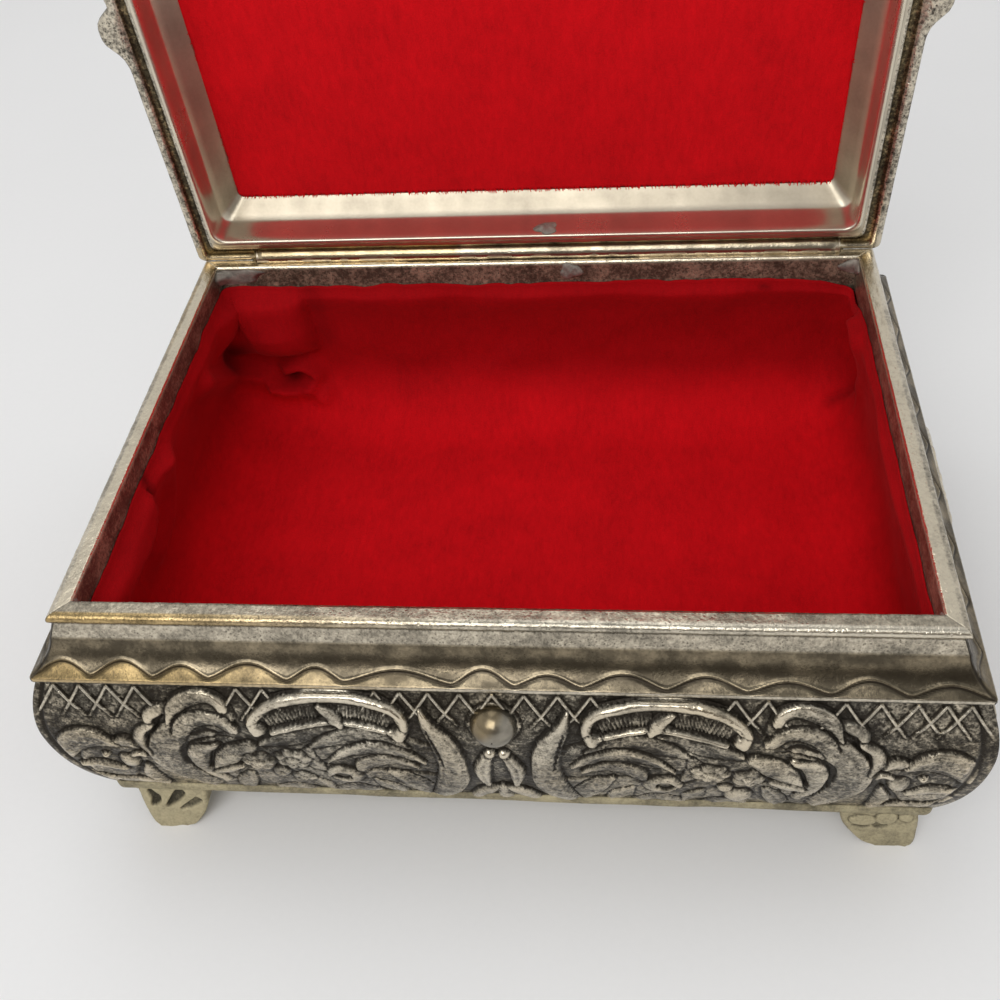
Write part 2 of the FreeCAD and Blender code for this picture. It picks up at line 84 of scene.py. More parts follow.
def length(name, description, default, least=0.0):
    """A size that the panel shows, in metres."""
    return FloatProperty(
        name=name, description=description, default=default, min=least, unit="LENGTH", subtype="DISTANCE")


def colour(name, description, default):
    """A colour that the panel shows."""
    return FloatVectorProperty(
        name=name, description=description, default=default, size=3, min=0, max=1, subtype="COLOR")


class CasketSizes(bpy.types.PropertyGroup):
    """Sizes of the casket's ornament and soft pieces."""

    relief: length("Relief", "Height of the chased leaves over the belly", 0.0009)
    ground: length("Ground", "Depth of the ground between the leaves", 0.0001)
    lattice: length("Lattice bar", "Radius of a bar of the lattice under the moulding", 0.00022)
    boss: length("Boss", "Radius of the ball in the middle of the front", 0.0032)
    seam: length("Seam", "Depth of the groove where two walls meet", 0.0003)
    fold: length("Fold", "How far the fullest fold of the lining stands off the wall", 0.0062)
    pile: length("Pile thickness", "Thickness of the velvet", 0.0009, 0.0001)
    fray: length("Fray", "Length of the loose fibres at the velvet's cut edges", 0.0011)


class CasketColours(bpy.types.PropertyGroup):
    """Colours of the casket's finishes and of the stage."""

    # Bright metal also serves the painted highlights and reflection, patina the painted shade of the
    # crevices, and gilt the painted warm highlights
    bright: colour("Bright metal", "Rubbed high places of the castings", (0.76, 0.72, 0.62))
    patina: colour("Patina", "Dark of the hollows", (0.030, 0.026, 0.021))
    gilt_and_glint: colour("Gilt tarnish", "Warm tarnish on the mouldings", (0.80, 0.58, 0.26))
    pale: colour("Pale metal", "Base plate and feet", (0.54, 0.47, 0.30))
    solder: colour("Solder", "Dull lumps in the joints", (0.46, 0.42, 0.36))
    velvet: colour("Velvet", "Pile of the lining and the lid panel", (0.70, 0.004, 0.009))
    card: colour("Card", "Card under the velvet", (0.45, 0.36, 0.27))
    floor: colour("Floor", "Table top that the casket stands on", (0.89, 0.88, 0.87))


# Finishes

class Wire:
    """A value in a finish, written in sums like a number."""

    def __init__(self, finish, socket):
        self.finish, self.socket = finish, socket

    def sum(self, operation, first, second):
        return self.finish.node("ShaderNodeMath", {"operation": operation}, {0: first, 1: second})

    def __add__(self, other):
        return self.sum("ADD", self, other)

    def __sub__(self, other):
        return self.sum("SUBTRACT", self, other)

    def __rsub__(self, other):
        return self.sum("SUBTRACT", other, self)

    def __mul__(self, other):
        return self.sum("MULTIPLY", self, other)

    __radd__ = __add__
    __rmul__ = __mul__

    def clamp(self):
        return self.finish.node("ShaderNodeClamp", {}, {"Value": self})


class Finish:
    """Builds the nodes of a material or of the world."""

    def __init__(self, owner):
        owner.use_nodes = True
        self.owner, self.tree = owner, owner.node_tree
        self.tree.nodes.clear()

    def node(self, kind, settings=None, sockets=None, out=0):
        node = self.tree.nodes.new(kind)
        for key, value in (settings or {}).items():
            if key != "stops":
                setattr(node, key, value)
                continue
            steps = node.color_ramp.elements
            steps[0].position, steps[-1].position = value[0][0], value[-1][0]
            for at, _ in value[1:-1]:
                steps.new(at)
            for step, (_, colour) in zip(steps, value):
                step.color = (*colour, 1)
        for key, value in (sockets or {}).items():
            if isinstance(value, Wire):
                self.tree.links.new(value.socket, node.inputs[key])
            else:
                node.inputs[key].default_value = value
        return Wire(self, node.outputs[out]) if node.outputs else None

    def where(self):
        return self.node("ShaderNodeTexCoord", out="Object")

    def mark(self, name):
        return self.node("ShaderNodeAttribute", {"attribute_name": name}, out="Fac")

    def noise(self, at, size, detail=3.0, rough=0.6):
        sockets = {"Vector": at, "Scale": 1 / (size * MM), "Detail": detail, "Roughness": rough}
        return self.node("ShaderNodeTexNoise", {}, sockets)

    def cells(self, at, size):
        sockets = {"Vector": at, "Scale": 1 / (size * MM)}
        return self.node("ShaderNodeTexVoronoi", {}, sockets, "Distance")

    def ramp(self, level, *stops):
        return self.node("ShaderNodeValToRGB", {"stops": stops}, {"Fac": level}, "Color")

    def blend(self, share, first, second, kind="MIX"):
        first, second = (c if isinstance(c, Wire) else (*c, 1) for c in (first, second))
        settings = {"data_type": "RGBA", "blend_type": kind}
        return self.node("ShaderNodeMix", settings, {0: share, 6: first, 7: second}, 2)

    def bump(self, height, strength, depth):
        sockets = {"Strength": strength, "Distance": depth * MM, "Height": height}
        return self.node("ShaderNodeBump", {}, sockets)

    def surface(self, **sockets):
        values = {key.replace("_", " "): value for key, value in sockets.items()}
        for key in ("Base Color", "Sheen Tint"):
            if key in values and not isinstance(values[key], Wire):
                values[key] = (*values[key], 1)
        skin = self.node("ShaderNodeBsdfPrincipled", {}, values)
        self.node("ShaderNodeOutputMaterial", {}, {"Surface": skin})
        return self.owner


def finish(name, make):
    """The material of that name, made the first time it is asked for."""
    known = bpy.data.materials.get(name)
    return known or make(Finish(bpy.data.materials.new(name)), bpy.context.scene.casket_colours)


def shade(colour, share):
    return tuple(c * share for c in colour)


def antiqued_metal(skin, colours):
    """Cast metal rubbed bright on its high places, dark in its hollows, with the painted highlights,
    reflection and shade that its marks carry.
    """
    at = skin.where()
    wear, warm, polish = skin.mark("wear"), skin.mark("warm"), skin.mark("polish")
    cloud = skin.noise(at, 3.2)
    blotch = skin.noise(at, 1.0, 4.0, 0.65)
    fine = skin.noise(at, 0.5, 4.0, 0.75)
    rough_cast = (1 - polish).clamp()
    pits = ((0.34 - skin.cells(at, 0.62)) * 5).clamp() * (blotch * 4 - 1.7).clamp() * rough_cast
    pepper = ((0.32 - skin.cells(at, 0.50)) * 6).clamp() * (cloud * 3 - 0.8).clamp() * rough_cast
    mottle = (cloud - 0.5) * 0.5 + ((blotch - 0.5) * 1.3 + (fine - 0.5) * 1.2) * rough_cast
    level = wear + mottle - pits * 0.5 - pepper * 0.42 - skin.mark("crevice") * 0.7
    level = level.clamp()
    bright = tuple(colours.bright)
    tone = skin.ramp(
        level, (0.0, tuple(colours.patina)), (0.30, shade(bright, 0.14)),
        (0.56, shade(bright, 0.45)), (0.82, shade(bright, 0.86)), (1.0, bright))
    tone = skin.blend(warm, tone, tuple(colours.gilt_and_glint), "MULTIPLY")
    height = (fine * 0.7 + blotch * 0.5) * (0.2 + rough_cast * 0.8) - pits - pepper * 0.5
    return skin.surface(
        Base_Color=tone, Metallic=(0.84 + level * 0.14 - skin.mark("dull") * 0.5).clamp(),
        Roughness=(0.46 - level * 0.18 - polish * 0.16).clamp(),
        Normal=skin.bump(height, 0.8, 0.10))


def polished_metal(skin, colours):
    """Smooth inside of the lid and the ball: bright, faintly scuffed."""
    at = skin.where()
    wear, warm = skin.mark("wear"), skin.mark("warm")
    cloud = skin.noise(at, 4.5)
    fine = skin.noise(at, 0.5, 4.0, 0.65)
    level = (wear + (cloud - 0.5) * 0.22 + (fine - 0.5) * 0.16).clamp()
    bright = tuple(colours.bright)
    tone = skin.ramp(
        level, (0.0, shade(bright, 0.08)), (0.45, shade(bright, 0.50)), (1.0, bright))
    tone = skin.blend(warm, tone, tuple(colours.gilt_and_glint), "MULTIPLY")
    return skin.surface(
        Base_Color=tone, Metallic=0.90,
        Roughness=(0.44 - level * 0.20 + cloud * 0.06 - skin.mark("gloss") * 0.16).clamp(),
        Normal=skin.bump(fine + cloud, 0.25, 0.04))


def pale_metal(skin, colours):
    """Rough pale casting of the base and feet, dirty in its gouges."""
    at = skin.where()
    wear = skin.mark("wear")
    cloud = skin.noise(at, 2.4)
    fine = skin.noise(at, 0.4, 4.0, 0.7)
    level = (wear + (cloud - 0.5) * 0.8 + (fine - 0.5) * 0.9).clamp()
    pale = tuple(colours.pale)
    tone = skin.ramp(
        level, (0.0, shade(pale, 0.10)), (0.4, shade(pale, 0.45)), (0.75, shade(pale, 0.85)),
        (1.0, pale))
    return skin.surface(
        Base_Color=tone, Metallic=0.55, Roughness=(0.68 - level * 0.14).clamp(),
        Normal=skin.bump(fine + cloud, 0.9, 0.12))


def hinge_metal(skin, colours):
    """Rolled strip of the hinge, bright with brown in its streaks."""
    at = skin.where()
    streak = skin.noise(skin.node(
        "ShaderNodeMapping", {}, {"Vector": at, "Scale": (0.12, 1.0, 1.0)}), 0.9)
    cloud = skin.noise(at, 3.0)
    level = (streak * 0.9 + cloud * 0.5 - 0.1).clamp()
    bright = tuple(colours.bright)
    tone = skin.ramp(
        level, (0.15, shade(bright, 0.18)), (0.45, shade(bright, 0.62)), (0.8, bright))
    tone = skin.blend(0.35, tone, tuple(colours.gilt_and_glint), "MULTIPLY")
    return skin.surface(
        Base_Color=tone, Metallic=0.95, Roughness=(0.46 - level * 0.16).clamp(),
        Normal=skin.bump(streak, 0.3, 0.04))


def solder_metal(skin, colours):
    """Dull lumpy solder."""
    at = skin.where()
    cloud = skin.noise(at, 1.4)
    fine = skin.noise(at, 0.3, 4.0, 0.7)
    level = (cloud * 0.9 + fine * 0.5 - 0.2).clamp()
    grey = tuple(colours.solder)
    tone = skin.ramp(level, (0.1, shade(grey, 0.18)), (0.5, shade(grey, 0.65)), (0.9, grey))
    return skin.surface(
        Base_Color=tone, Metallic=0.6, Roughness=(0.78 - level * 0.15).clamp(),
        Normal=skin.bump(cloud + fine, 0.6, 0.1))


def red_velvet(skin, colours):
    """Short pile, brushed in patches, with a soft sheen, and painted shade from its hollow mark."""
    at = skin.where()
    hollow = skin.mark("hollow")
    patch = skin.noise(at, 11.0, 4.0, 0.55)
    nap = skin.noise(skin.node(
        "ShaderNodeMapping", {}, {"Vector": at, "Scale": (1.0, 0.35, 0.35)}), 0.9, 3.0)
    pile = skin.noise(at, 0.22, 2.0, 0.7)
    level = ((patch - 0.5) * 0.55 + (nap - 0.5) * 0.5 + (pile - 0.5) * 0.55 + 0.56).clamp()
    red = tuple(colours.velvet)
    tone = skin.ramp(
        level, (0.1, shade(red, 0.50)), (0.5, shade(red, 0.88)), (0.9, shade(red, 1.16)))
    # Painted shade in the lining's folds, creases and walls
    tone = skin.blend(hollow, tone, shade(red, 0.16))
    return skin.surface(
        Base_Color=tone, Roughness=0.9, Specular_IOR_Level=0.12, Sheen_Weight=0.12,
        Sheen_Roughness=0.4, Sheen_Tint=(1.0, 0.12, 0.12),
        Normal=skin.bump(pile + nap * 0.8, 0.5, 0.16))


def grey_card(skin, colours):
    """Plain card with a short fibre."""
    at = skin.where()
    fibre = skin.noise(at, 0.6, 4.0, 0.7)
    cloud = skin.noise(at, 6.0)
    card = tuple(colours.card)
    tone = skin.ramp(fibre * 0.6 + cloud * 0.4, (0.3, shade(card, 0.75)), (0.7, card))
    return skin.surface(
        Base_Color=tone, Roughness=0.9, Normal=skin.bump(fibre, 0.4, 0.05))


def table_top(skin, colours):
    """Pale table, faintly uneven."""
    at = skin.where()
    cloud = skin.noise(at, 120.0)
    fine = skin.noise(at, 1.1, 3.0)
    pale = tuple(colours.floor)
    tone = skin.ramp(cloud * 0.7 + fine * 0.3, (0.3, shade(pale, 0.965)), (0.7, pale))
    return skin.surface(Base_Color=tone, Roughness=0.55, Specular_IOR_Level=0.25)


# Drawing helpers

def smooth_line(points, steps=6):
    """Points of a smooth curve through given points."""
    p = np.array(points, float)
    p = np.vstack([2 * p[0] - p[1], p, 2 * p[-1] - p[-2]])
    t = np.linspace(0, 1, steps, endpoint=False)[:, None]
    runs = [
        0.5 * (2 * b + (c - a) * t + (2 * a - 5 * b + 4 * c - d) * t**2
               + (3 * b - a - 3 * c + d) * t**3)
        for a, b, c, d in zip(p, p[1:], p[2:], p[3:])
    ]
    return np.vstack(runs + [p[-2:-1]])


def arc(a, b, c, count):
    """Points from a to c, not reaching it, on the circle through b."""
    (ax, ay), (bx, by), (cx, cy) = a, b, c
    a2, b2, c2 = ax * ax + ay * ay, bx * bx + by * by, cx * cx + cy * cy
    k = 2 * (ax * (by - cy) + bx * (cy - ay) + cx * (ay - by))
    ux = (a2 * (by - cy) + b2 * (cy - ay) + c2 * (ay - by)) / k
    uy = (a2 * (cx - bx) + b2 * (ax - cx) + c2 * (bx - ax)) / k
    turns = np.unwrap([math.atan2(y - uy, x - ux) for x, y in (a, b, c)])
    swing = np.linspace(turns[0], turns[2], count, endpoint=False)
    radius = math.hypot(ax - ux, ay - uy)
    return np.stack([ux + radius * np.cos(swing), uy + radius * np.sin(swing)], 1)


def grain(u, v, size, seed):
    """Smooth noise between -1 and 1 with features of that size."""
    table = np.random.default_rng(seed).uniform(-1, 1, (64, 64))
    p, q = np.asarray(u) / size, np.asarray(v) / size
    i, j = np.floor(p).astype(int), np.floor(q).astype(int)
    f, g = p - i, q - j
    f, g = f * f * (3 - 2 * f), g * g * (3 - 2 * g)
    i0, j0, i1, j1 = i % 64, j % 64, (i + 1) % 64, (j + 1) % 64
    low = table[i0, j0] * (1 - f) + table[i1, j0] * f
    high = table[i0, j1] * (1 - f) + table[i1, j1] * f
    return low * (1 - g) + high * g


def ease(value, start, end):
    """Smooth step from 0 at start to 1 at end."""
    t = np.clip((value - start) / (end - start), 0, 1)
    return t * t * (3 - 2 * t)


def soften(field, rows, columns):
    """A field averaged over a small block, twice."""
    for _ in range(2):
        for axis, reach in ((0, rows), (1, columns)):
            pad = [(0, 0), (0, 0)]
            pad[axis] = (reach + 1, reach)
            total = np.cumsum(np.pad(field, pad, "edge"), axis)
            width = 2 * reach + 1
            upper = np.take(total, range(width, total.shape[axis]), axis)
            lower = np.take(total, range(0, total.shape[axis] - width), axis)
            field = (upper - lower) / width
    return field


def from_line(points, line):
    """Distance from points to a line of points."""
    best = np.full(len(points), 1e9)
    for a, b in zip(line, line[1:]):
        run = b - a
        t = np.clip((points - a) @ run / max(run @ run, 1e-9), 0, 1)
        best = np.minimum(best, np.linalg.norm(points - a - t[:, None] * run, axis=1))
    return best


# Meshes

def set_marks(mesh, **marks):
    """Writes values at a mesh's points for its finish to read."""
    for key, values in marks.items():
        layer = mesh.attributes.new(key, "FLOAT", "POINT")
        values = np.broadcast_to(np.ravel(values), len(mesh.vertices))
        layer.data.foreach_set("value", values.astype(np.float32))


def build(name, points, quads, caps=(), **marks):
    """An object from points in millimetres, four-sided faces and end caps."""
    mesh = bpy.data.meshes.new(name)
    quads = np.asarray(quads, int).reshape(-1, 4)
    loops = np.concatenate([quads.ravel()] + [np.asarray(c, int) for c in caps])
    sizes = [4] * len(quads) + [len(c) for c in caps]
    starts = np.concatenate([[0], np.cumsum(sizes)[:-1]])
    mesh.vertices.add(len(points))
    mesh.vertices.foreach_set("co", (np.asarray(points) * MM).astype(np.float32).ravel())
    mesh.loops.add(len(loops))
    mesh.loops.foreach_set("vertex_index", loops.astype(np.int32))
    mesh.polygons.add(len(starts))
    mesh.polygons.foreach_set("loop_start", starts.astype(np.int32))
    mesh.update(calc_edges=True)
    mesh.validate()
    set_marks(mesh, **marks)
    mesh.polygons.foreach_set("use_smooth", np.ones(len(mesh.polygons), bool))
    piece = bpy.data.objects.new(name, mesh)
    bpy.context.scene.collection.objects.link(piece)
    return piece


def faces(grid):
    """Faces between the rows of a grid of point numbers."""
    corners = grid[:-1, :-1], grid[1:, :-1], grid[1:, 1:], grid[:-1, 1:]
    return np.stack([c.ravel() for c in corners], 1)


def weave(rows, columns, close_rows=False, close_columns=False):
    """Faces of a grid of points, row by row."""
    grid = np.arange(rows * columns).reshape(rows, columns)
    if close_rows:
        grid = np.vstack([grid, grid[:1]])
    if close_columns:
        grid = np.hstack([grid, grid[:, :1]])
    return faces(grid)


def slab_faces(rows, columns):
    """Faces of a slab between two grids of points, the second grid under the first."""
    grid = np.arange(rows * columns).reshape(rows, columns)
    rim = np.concatenate([grid[0], grid[1:, -1], grid[-1, -2::-1], grid[-2:0:-1, 0]])
    after, total = np.roll(rim, -1), rows * columns
    skirt = np.stack([rim, after, after + total, rim + total], 1)
    return np.vstack([faces(grid), faces(grid)[:, ::-1] + total, skirt])


def settle(piece):
    """Turns a piece and its modifiers into a plain mesh."""
    evaluated = piece.evaluated_get(bpy.context.evaluated_depsgraph_get())
    piece.data = bpy.data.meshes.new_from_object(evaluated)
    piece.modifiers.clear()


def seat(piece, material, body, slot, *nodes):
    """Gives a piece its finish and its body, and hides the solids of the frame that it stands for."""
    if material:
        piece.data.materials.append(material)
    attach(piece, body)
    if nodes:
        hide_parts(*nodes)
    return piece


def rods(name, lines, radius, sides, material):
    """Thin rods swept along lines of points by a node tree, as a plain mesh."""
    points = np.vstack(lines) * MM
    edges, start = [], 0
    for line in lines:
        edges += [(start + k, start + k + 1) for k in range(len(line) - 1)]
        start += len(line)
    mesh = bpy.data.meshes.new(name)
    mesh.from_pydata(points.tolist(), edges, [])
    piece = bpy.data.objects.new(name, mesh)
    bpy.context.scene.collection.objects.link(piece)

    tree = bpy.data.node_groups.new(name + "_sweep", "GeometryNodeTree")
    face = tree.interface
    face.new_socket("Geometry", in_out="INPUT", socket_type="NodeSocketGeometry")
    inputs = {
        face.new_socket("Radius", in_out="INPUT", socket_type="NodeSocketFloat"): radius * MM,
        face.new_socket("Sides", in_out="INPUT", socket_type="NodeSocketInt"): sides,
        face.new_socket("Finish", in_out="INPUT", socket_type="NodeSocketMaterial"): material,
    }
    face.new_socket("Geometry", in_out="OUTPUT", socket_type="NodeSocketGeometry")
    group = tree.nodes.new("NodeGroupInput")
    curve = tree.nodes.new("GeometryNodeMeshToCurve")
    circle = tree.nodes.new("GeometryNodeCurvePrimitiveCircle")
    sweep = tree.nodes.new("GeometryNodeCurveToMesh")
    smooth = tree.nodes.new("GeometryNodeSetShadeSmooth")
    real = tree.nodes.new("GeometryNodeRealizeInstances")
    paint = tree.nodes.new("GeometryNodeSetMaterial")
    end = tree.nodes.new("NodeGroupOutput")
    sweep.inputs["Fill Caps"].default_value = True
    for source, target in (
        (group.outputs["Geometry"], curve.inputs["Mesh"]),
        (group.outputs["Radius"], circle.inputs["Radius"]),
        (group.outputs["Sides"], circle.inputs["Resolution"]),
        (curve.outputs["Curve"], sweep.inputs["Curve"]),
        (circle.outputs["Curve"], sweep.inputs["Profile Curve"]),
        (sweep.outputs["Mesh"], smooth.inputs["Geometry"]),
        (smooth.outputs["Geometry"], real.inputs["Geometry"]),
        (real.outputs["Geometry"], paint.inputs["Geometry"]),
        (group.outputs["Finish"], paint.inputs["Material"]),
        (paint.outputs["Geometry"], end.inputs[0]),
    ):
        tree.links.new(source, target)
    modifier = piece.modifiers.new("sweep", "NODES")
    modifier.node_group = tree
    for socket, value in inputs.items():
        modifier[socket.identifier] = value
    settle(piece)
    return piece


# Chased relief

class Relief:
    """Height of the chasing over a wall, in millimetres, raised stroke by stroke."""

    def __init__(self, x, d, top):
        self.x, self.d, self.top = x, d, top
        self.height, self.crevice = np.zeros_like(x), np.zeros_like(x)

    def window(self, low, high):
        middle = self.x[len(self.x) // 2]
        rows = np.flatnonzero((self.d[:, 0] > low[1]) & (self.d[:, 0] < high[1]))
        columns = np.flatnonzero((middle > low[0]) & (middle < high[0]))
        if not len(rows) or not len(columns):
            return None
        return slice(rows[0], rows[-1] + 1), slice(columns[0], columns[-1] + 1)

    def lay(self, at, inside, height, gap, trench):
        """Keeps the higher of the old and new work, with a groove round the new, darkened by patina and
        painted shade.
        """
        old, dark = self.height[at], self.crevice[at]
        groove = old - 0.5 * trench * np.exp(-((gap / 0.26) ** 2))
        line = np.minimum(1, 2.4 * trench) * np.exp(-((gap / 0.19) ** 2))
        self.height[at] = np.where(inside, np.maximum(old, height), groove)
        self.crevice[at] = np.where(inside, dark * 0.2, np.maximum(dark, line))

    def stroke(self, points, widths, height=1.0, base=0.6, crown=0.55, veins=0, vein=0.3,
               ribs=0, rib=0.5, trench=0.4, line=0.12, lean=0.0):
        """A leaf, scroll or rib along a line, as wide as its half-widths, higher on one side."""
        count = len(points)
        spread = np.interp(np.linspace(0, 1, count), np.linspace(0, 1, len(widths)), widths)
        path = smooth_line([(*p, w) for p, w in zip(points, spread)])
        reach = spread.max() + 1.2
        at = self.window(path[:, :2].min(0) - reach, path[:, :2].max(0) + reach)
        if at is None:
            return
        x, d = self.x[at], self.d[at]
        best = np.full(x.shape, 1e9)
        along, width, side = (np.zeros(x.shape) for _ in range(3))
        for k, (a, b) in enumerate(zip(path, path[1:])):
            ux, ud = b[0] - a[0], b[1] - a[1]
            t = np.clip(((x - a[0]) * ux + (d - a[1]) * ud) / (ux * ux + ud * ud + 1e-9), 0, 1)
            gx, gd = x - a[0] - t * ux, d - a[1] - t * ud
            gap = np.hypot(gx, gd)
            near = gap < best
            best = np.where(near, gap, best)
            along = np.where(near, (k + t) / (len(path) - 1), along)
            width = np.where(near, a[2] + t * (b[2] - a[2]), width)
            side = np.where(near, np.sign(ux * gd - ud * gx), side)
        width = np.maximum(width, 0.12)
        share = best / width
        inside = share < 1
        round_off = np.clip(1 - share * share, 0, 1)
        rise = base * ease(round_off, 0, 0.25) + (1 - base) * round_off**crown
        if veins:
            across = (side * share + 1) / 2
            rise -= vein * (0.5 + 0.5 * np.cos(2 * math.pi * veins * across)) * ease(round_off, 0, 0.5)
        if ribs:
            rise -= rib * (0.5 + 0.5 * np.cos(2 * math.pi * ribs * along))
        rise = rise * (1 - 0.5 * (abs(lean) - lean * side * share))
        rise -= line * np.exp(-(((share - 0.68) / 0.10) ** 2)) * ease(width, 0.7, 1.2)
        self.lay(at, inside, height * self.top * rise, best - width, trench)

    def knob(self, x, d, radius, height=1.0, tall=1.0, petals=0, ring=0.0, trench=0.4):
        """A bead, ring or flower head."""
        reach = radius * max(tall, 1) + 1.2
        at = self.window((x - reach, d - reach), (x + reach, d + reach))
        if at is None:
            return
        gx, gd = self.x[at] - x, (self.d[at] - d) / tall
        turn = np.arctan2(gd, gx)
        edge = radius * np.ones_like(turn)
        if petals:
            edge = radius * (0.78 + 0.22 * np.abs(np.cos(petals * turn / 2)))
        gap = np.hypot(gx, gd)
        share = gap / edge
        rise = np.clip(1 - share**2, 0, 1) ** 0.5
        if petals:
            rise *= 0.72 + 0.28 * np.abs(np.cos(petals * turn / 2)) ** 0.5
            rise -= 0.3 * np.exp(-(((share - 0.42) / 0.13) ** 2))
        if ring:
            rise -= ring * np.exp(-((share / 0.45) ** 2))
        self.lay(at, share < 1, height * self.top * rise, gap - edge, trench)

    def pit(self, points, widths, depth):
        """A cut along a line, darkened by patina and painted shade."""
        before, dark = self.height, self.crevice
        self.height = np.zeros_like(before)
        self.stroke(points, widths, depth, base=0.6, trench=0, line=0)
        self.crevice = np.maximum(dark, np.clip(self.height / depth, 0, 1))
        self.height = before - self.height


# Ornament of half a long wall: distance from the middle and depth below the rim
MASSES = (
    (((9.0, 22.4), (16.0, 20.6), (24.0, 21.4), (32.5, 23.6)), (2.4, 3.4, 3.6, 2.6),
     dict(height=0.32, base=0.9, trench=0.3)),
    (((11.0, 31.0), (18.0, 30.6), (26.0, 30.4), (34.0, 30.8)), (3.6, 4.2, 4.6, 4.0),
     dict(height=0.28, base=0.9, trench=0.3)),
    (((37.6, 15.6), (41.6, 18.4), (43.0, 25.0), (41.0, 33.0)), (3.0, 4.0, 4.6, 3.6),
     dict(height=0.3, base=0.9, trench=0.3)),
    (((51.5, 22.0), (55.5, 26.0), (57.0, 32.0)), (2.0, 4.2, 3.0), dict(height=0.28, base=0.9, trench=0.3)),
)
UPRIGHT_LEAF = (
    (((10.6, 36.6), (12.0, 32.0), (13.6, 28.8), (15.4, 27.0)), (1.2, 2.0, 1.6, 0.4),
     dict(height=0.75, lean=0.6, veins=2, vein=0.15)),
    (((9.6, 13.6), (8.8, 16.4), (7.0, 19.9), (6.3, 24.2), (6.9, 30.0), (9.4, 37.0)),
     (0.3, 1.0, 1.8, 2.0, 2.3, 1.5), dict(height=1.1, base=0.45, lean=0.35)),
)
SHELL = (
    (((12.6, 18.4), (11.9, 16.0), (13.3, 13.7), (17.2, 12.3), (21.5, 11.7), (26.0, 12.3),
      (29.6, 13.6), (32.2, 16.2), (32.0, 18.2)), (0.85, 0.8, 0.8, 0.85, 0.95, 0.95, 0.85, 0.8, 0.8),
     dict(height=1.25, base=0.3, crown=0.5)),
    (((13.6, 15.9), (17.0, 14.7), (20.4, 14.3)), (1.2,),
     dict(height=0.75, base=0.7, ribs=13, rib=0.65, trench=0.3)),
    (((23.2, 14.4), (26.6, 14.8), (30.4, 16.2)), (1.25,),
     dict(height=0.75, base=0.7, ribs=14, rib=0.65, trench=0.3)),
    (((13.6, 17.6), (17.5, 16.5), (21.0, 16.0), (24.5, 16.6), (29.8, 18.2)), (0.45,),
     dict(height=1.0, base=0.3)),
    (((20.2, 16.6), (21.2, 14.9), (22.8, 13.4)), (0.5, 1.0, 0.5), dict(height=1.1)),
)
SHELL_KNOBS = ((12.8, 17.9, 1.25, dict(height=1.1)), (31.8, 17.8, 1.3, dict(height=1.1)))
BOUQUET = (
    (((21.2, 17.3), (24.4, 18.2), (27.8, 19.4), (31.6, 20.8)), (0.3, 1.1, 1.7, 0.8),
     dict(height=0.85, veins=3, vein=0.16, lean=-0.7)),
    (((11.8, 20.7), (14.6, 19.2), (18.6, 18.7), (22.2, 19.6), (25.4, 21.4)),
     (0.4, 1.4, 1.7, 1.4, 0.4), dict(height=0.85, veins=3, vein=0.18, lean=-0.7)),
    (((10.2, 24.0), (12.6, 22.2), (16.2, 20.9), (20.0, 22.0), (23.4, 24.6)),
     (0.5, 1.3, 1.5, 1.2, 0.3), dict(height=1.0, veins=2, vein=0.14, lean=-0.7)),
    (((11.4, 25.6), (14.6, 24.0), (18.0, 25.0), (19.6, 27.6)), (0.4, 1.4, 1.7, 0.6),
     dict(height=0.75, veins=3, vein=0.16, lean=-0.7)),
    (((25.6, 21.4), (26.4, 24.4), (24.8, 27.4)), (0.4, 1.6, 0.6), dict(height=0.65, veins=2, lean=0.6)),
    (((15.6, 36.8), (16.6, 33.0), (18.0, 30.2)), (1.2, 1.7, 0.4), dict(height=0.7, veins=2, lean=-0.6)),
    (((19.0, 36.8), (21.4, 34.4), (25.0, 36.4)), (0.9, 1.5, 0.9), dict(height=0.65, lean=0.6)),
    (((25.6, 35.6), (26.4, 32.6), (27.4, 30.2)), (0.7, 1.5, 0.5), dict(height=0.75, veins=2, lean=-0.6)),
    (((28.6, 37.0), (30.6, 35.0), (33.6, 35.6)), (0.7, 1.4, 0.5), dict(height=0.65, lean=0.6)),
    (((23.8, 29.6), (22.4, 31.0), (20.4, 29.8), (20.8, 27.6), (23.0, 27.0), (24.4, 28.6)),
     (0.4, 0.8, 0.9, 0.9, 0.8, 0.5), dict(height=0.9, lean=0.5)),
)
RIGHT_FLOWERS = (
    (28.2, 24.6, 2.9, dict(height=1.35, tall=0.85, petals=7)),
    (32.4, 31.6, 2.0, dict(height=1.2, tall=1.3)),
    (33.2, 25.8, 2.3, dict(height=1.15, tall=1.15, petals=5)),
    (30.4, 28.8, 1.1, dict(height=1.15, ring=0.8)),
)
LEFT_FLOWERS = (
    (33.4, 25.0, 2.6, dict(height=1.25, tall=1.1, petals=6)),
    (28.4, 24.1, 2.7, dict(height=1.35, tall=1.05, petals=7)),
    (31.0, 28.0, 1.3, dict(height=1.15, ring=0.8)),
    (28.4, 30.2, 1.8, dict(height=0.9, tall=1.3, petals=5)),
)
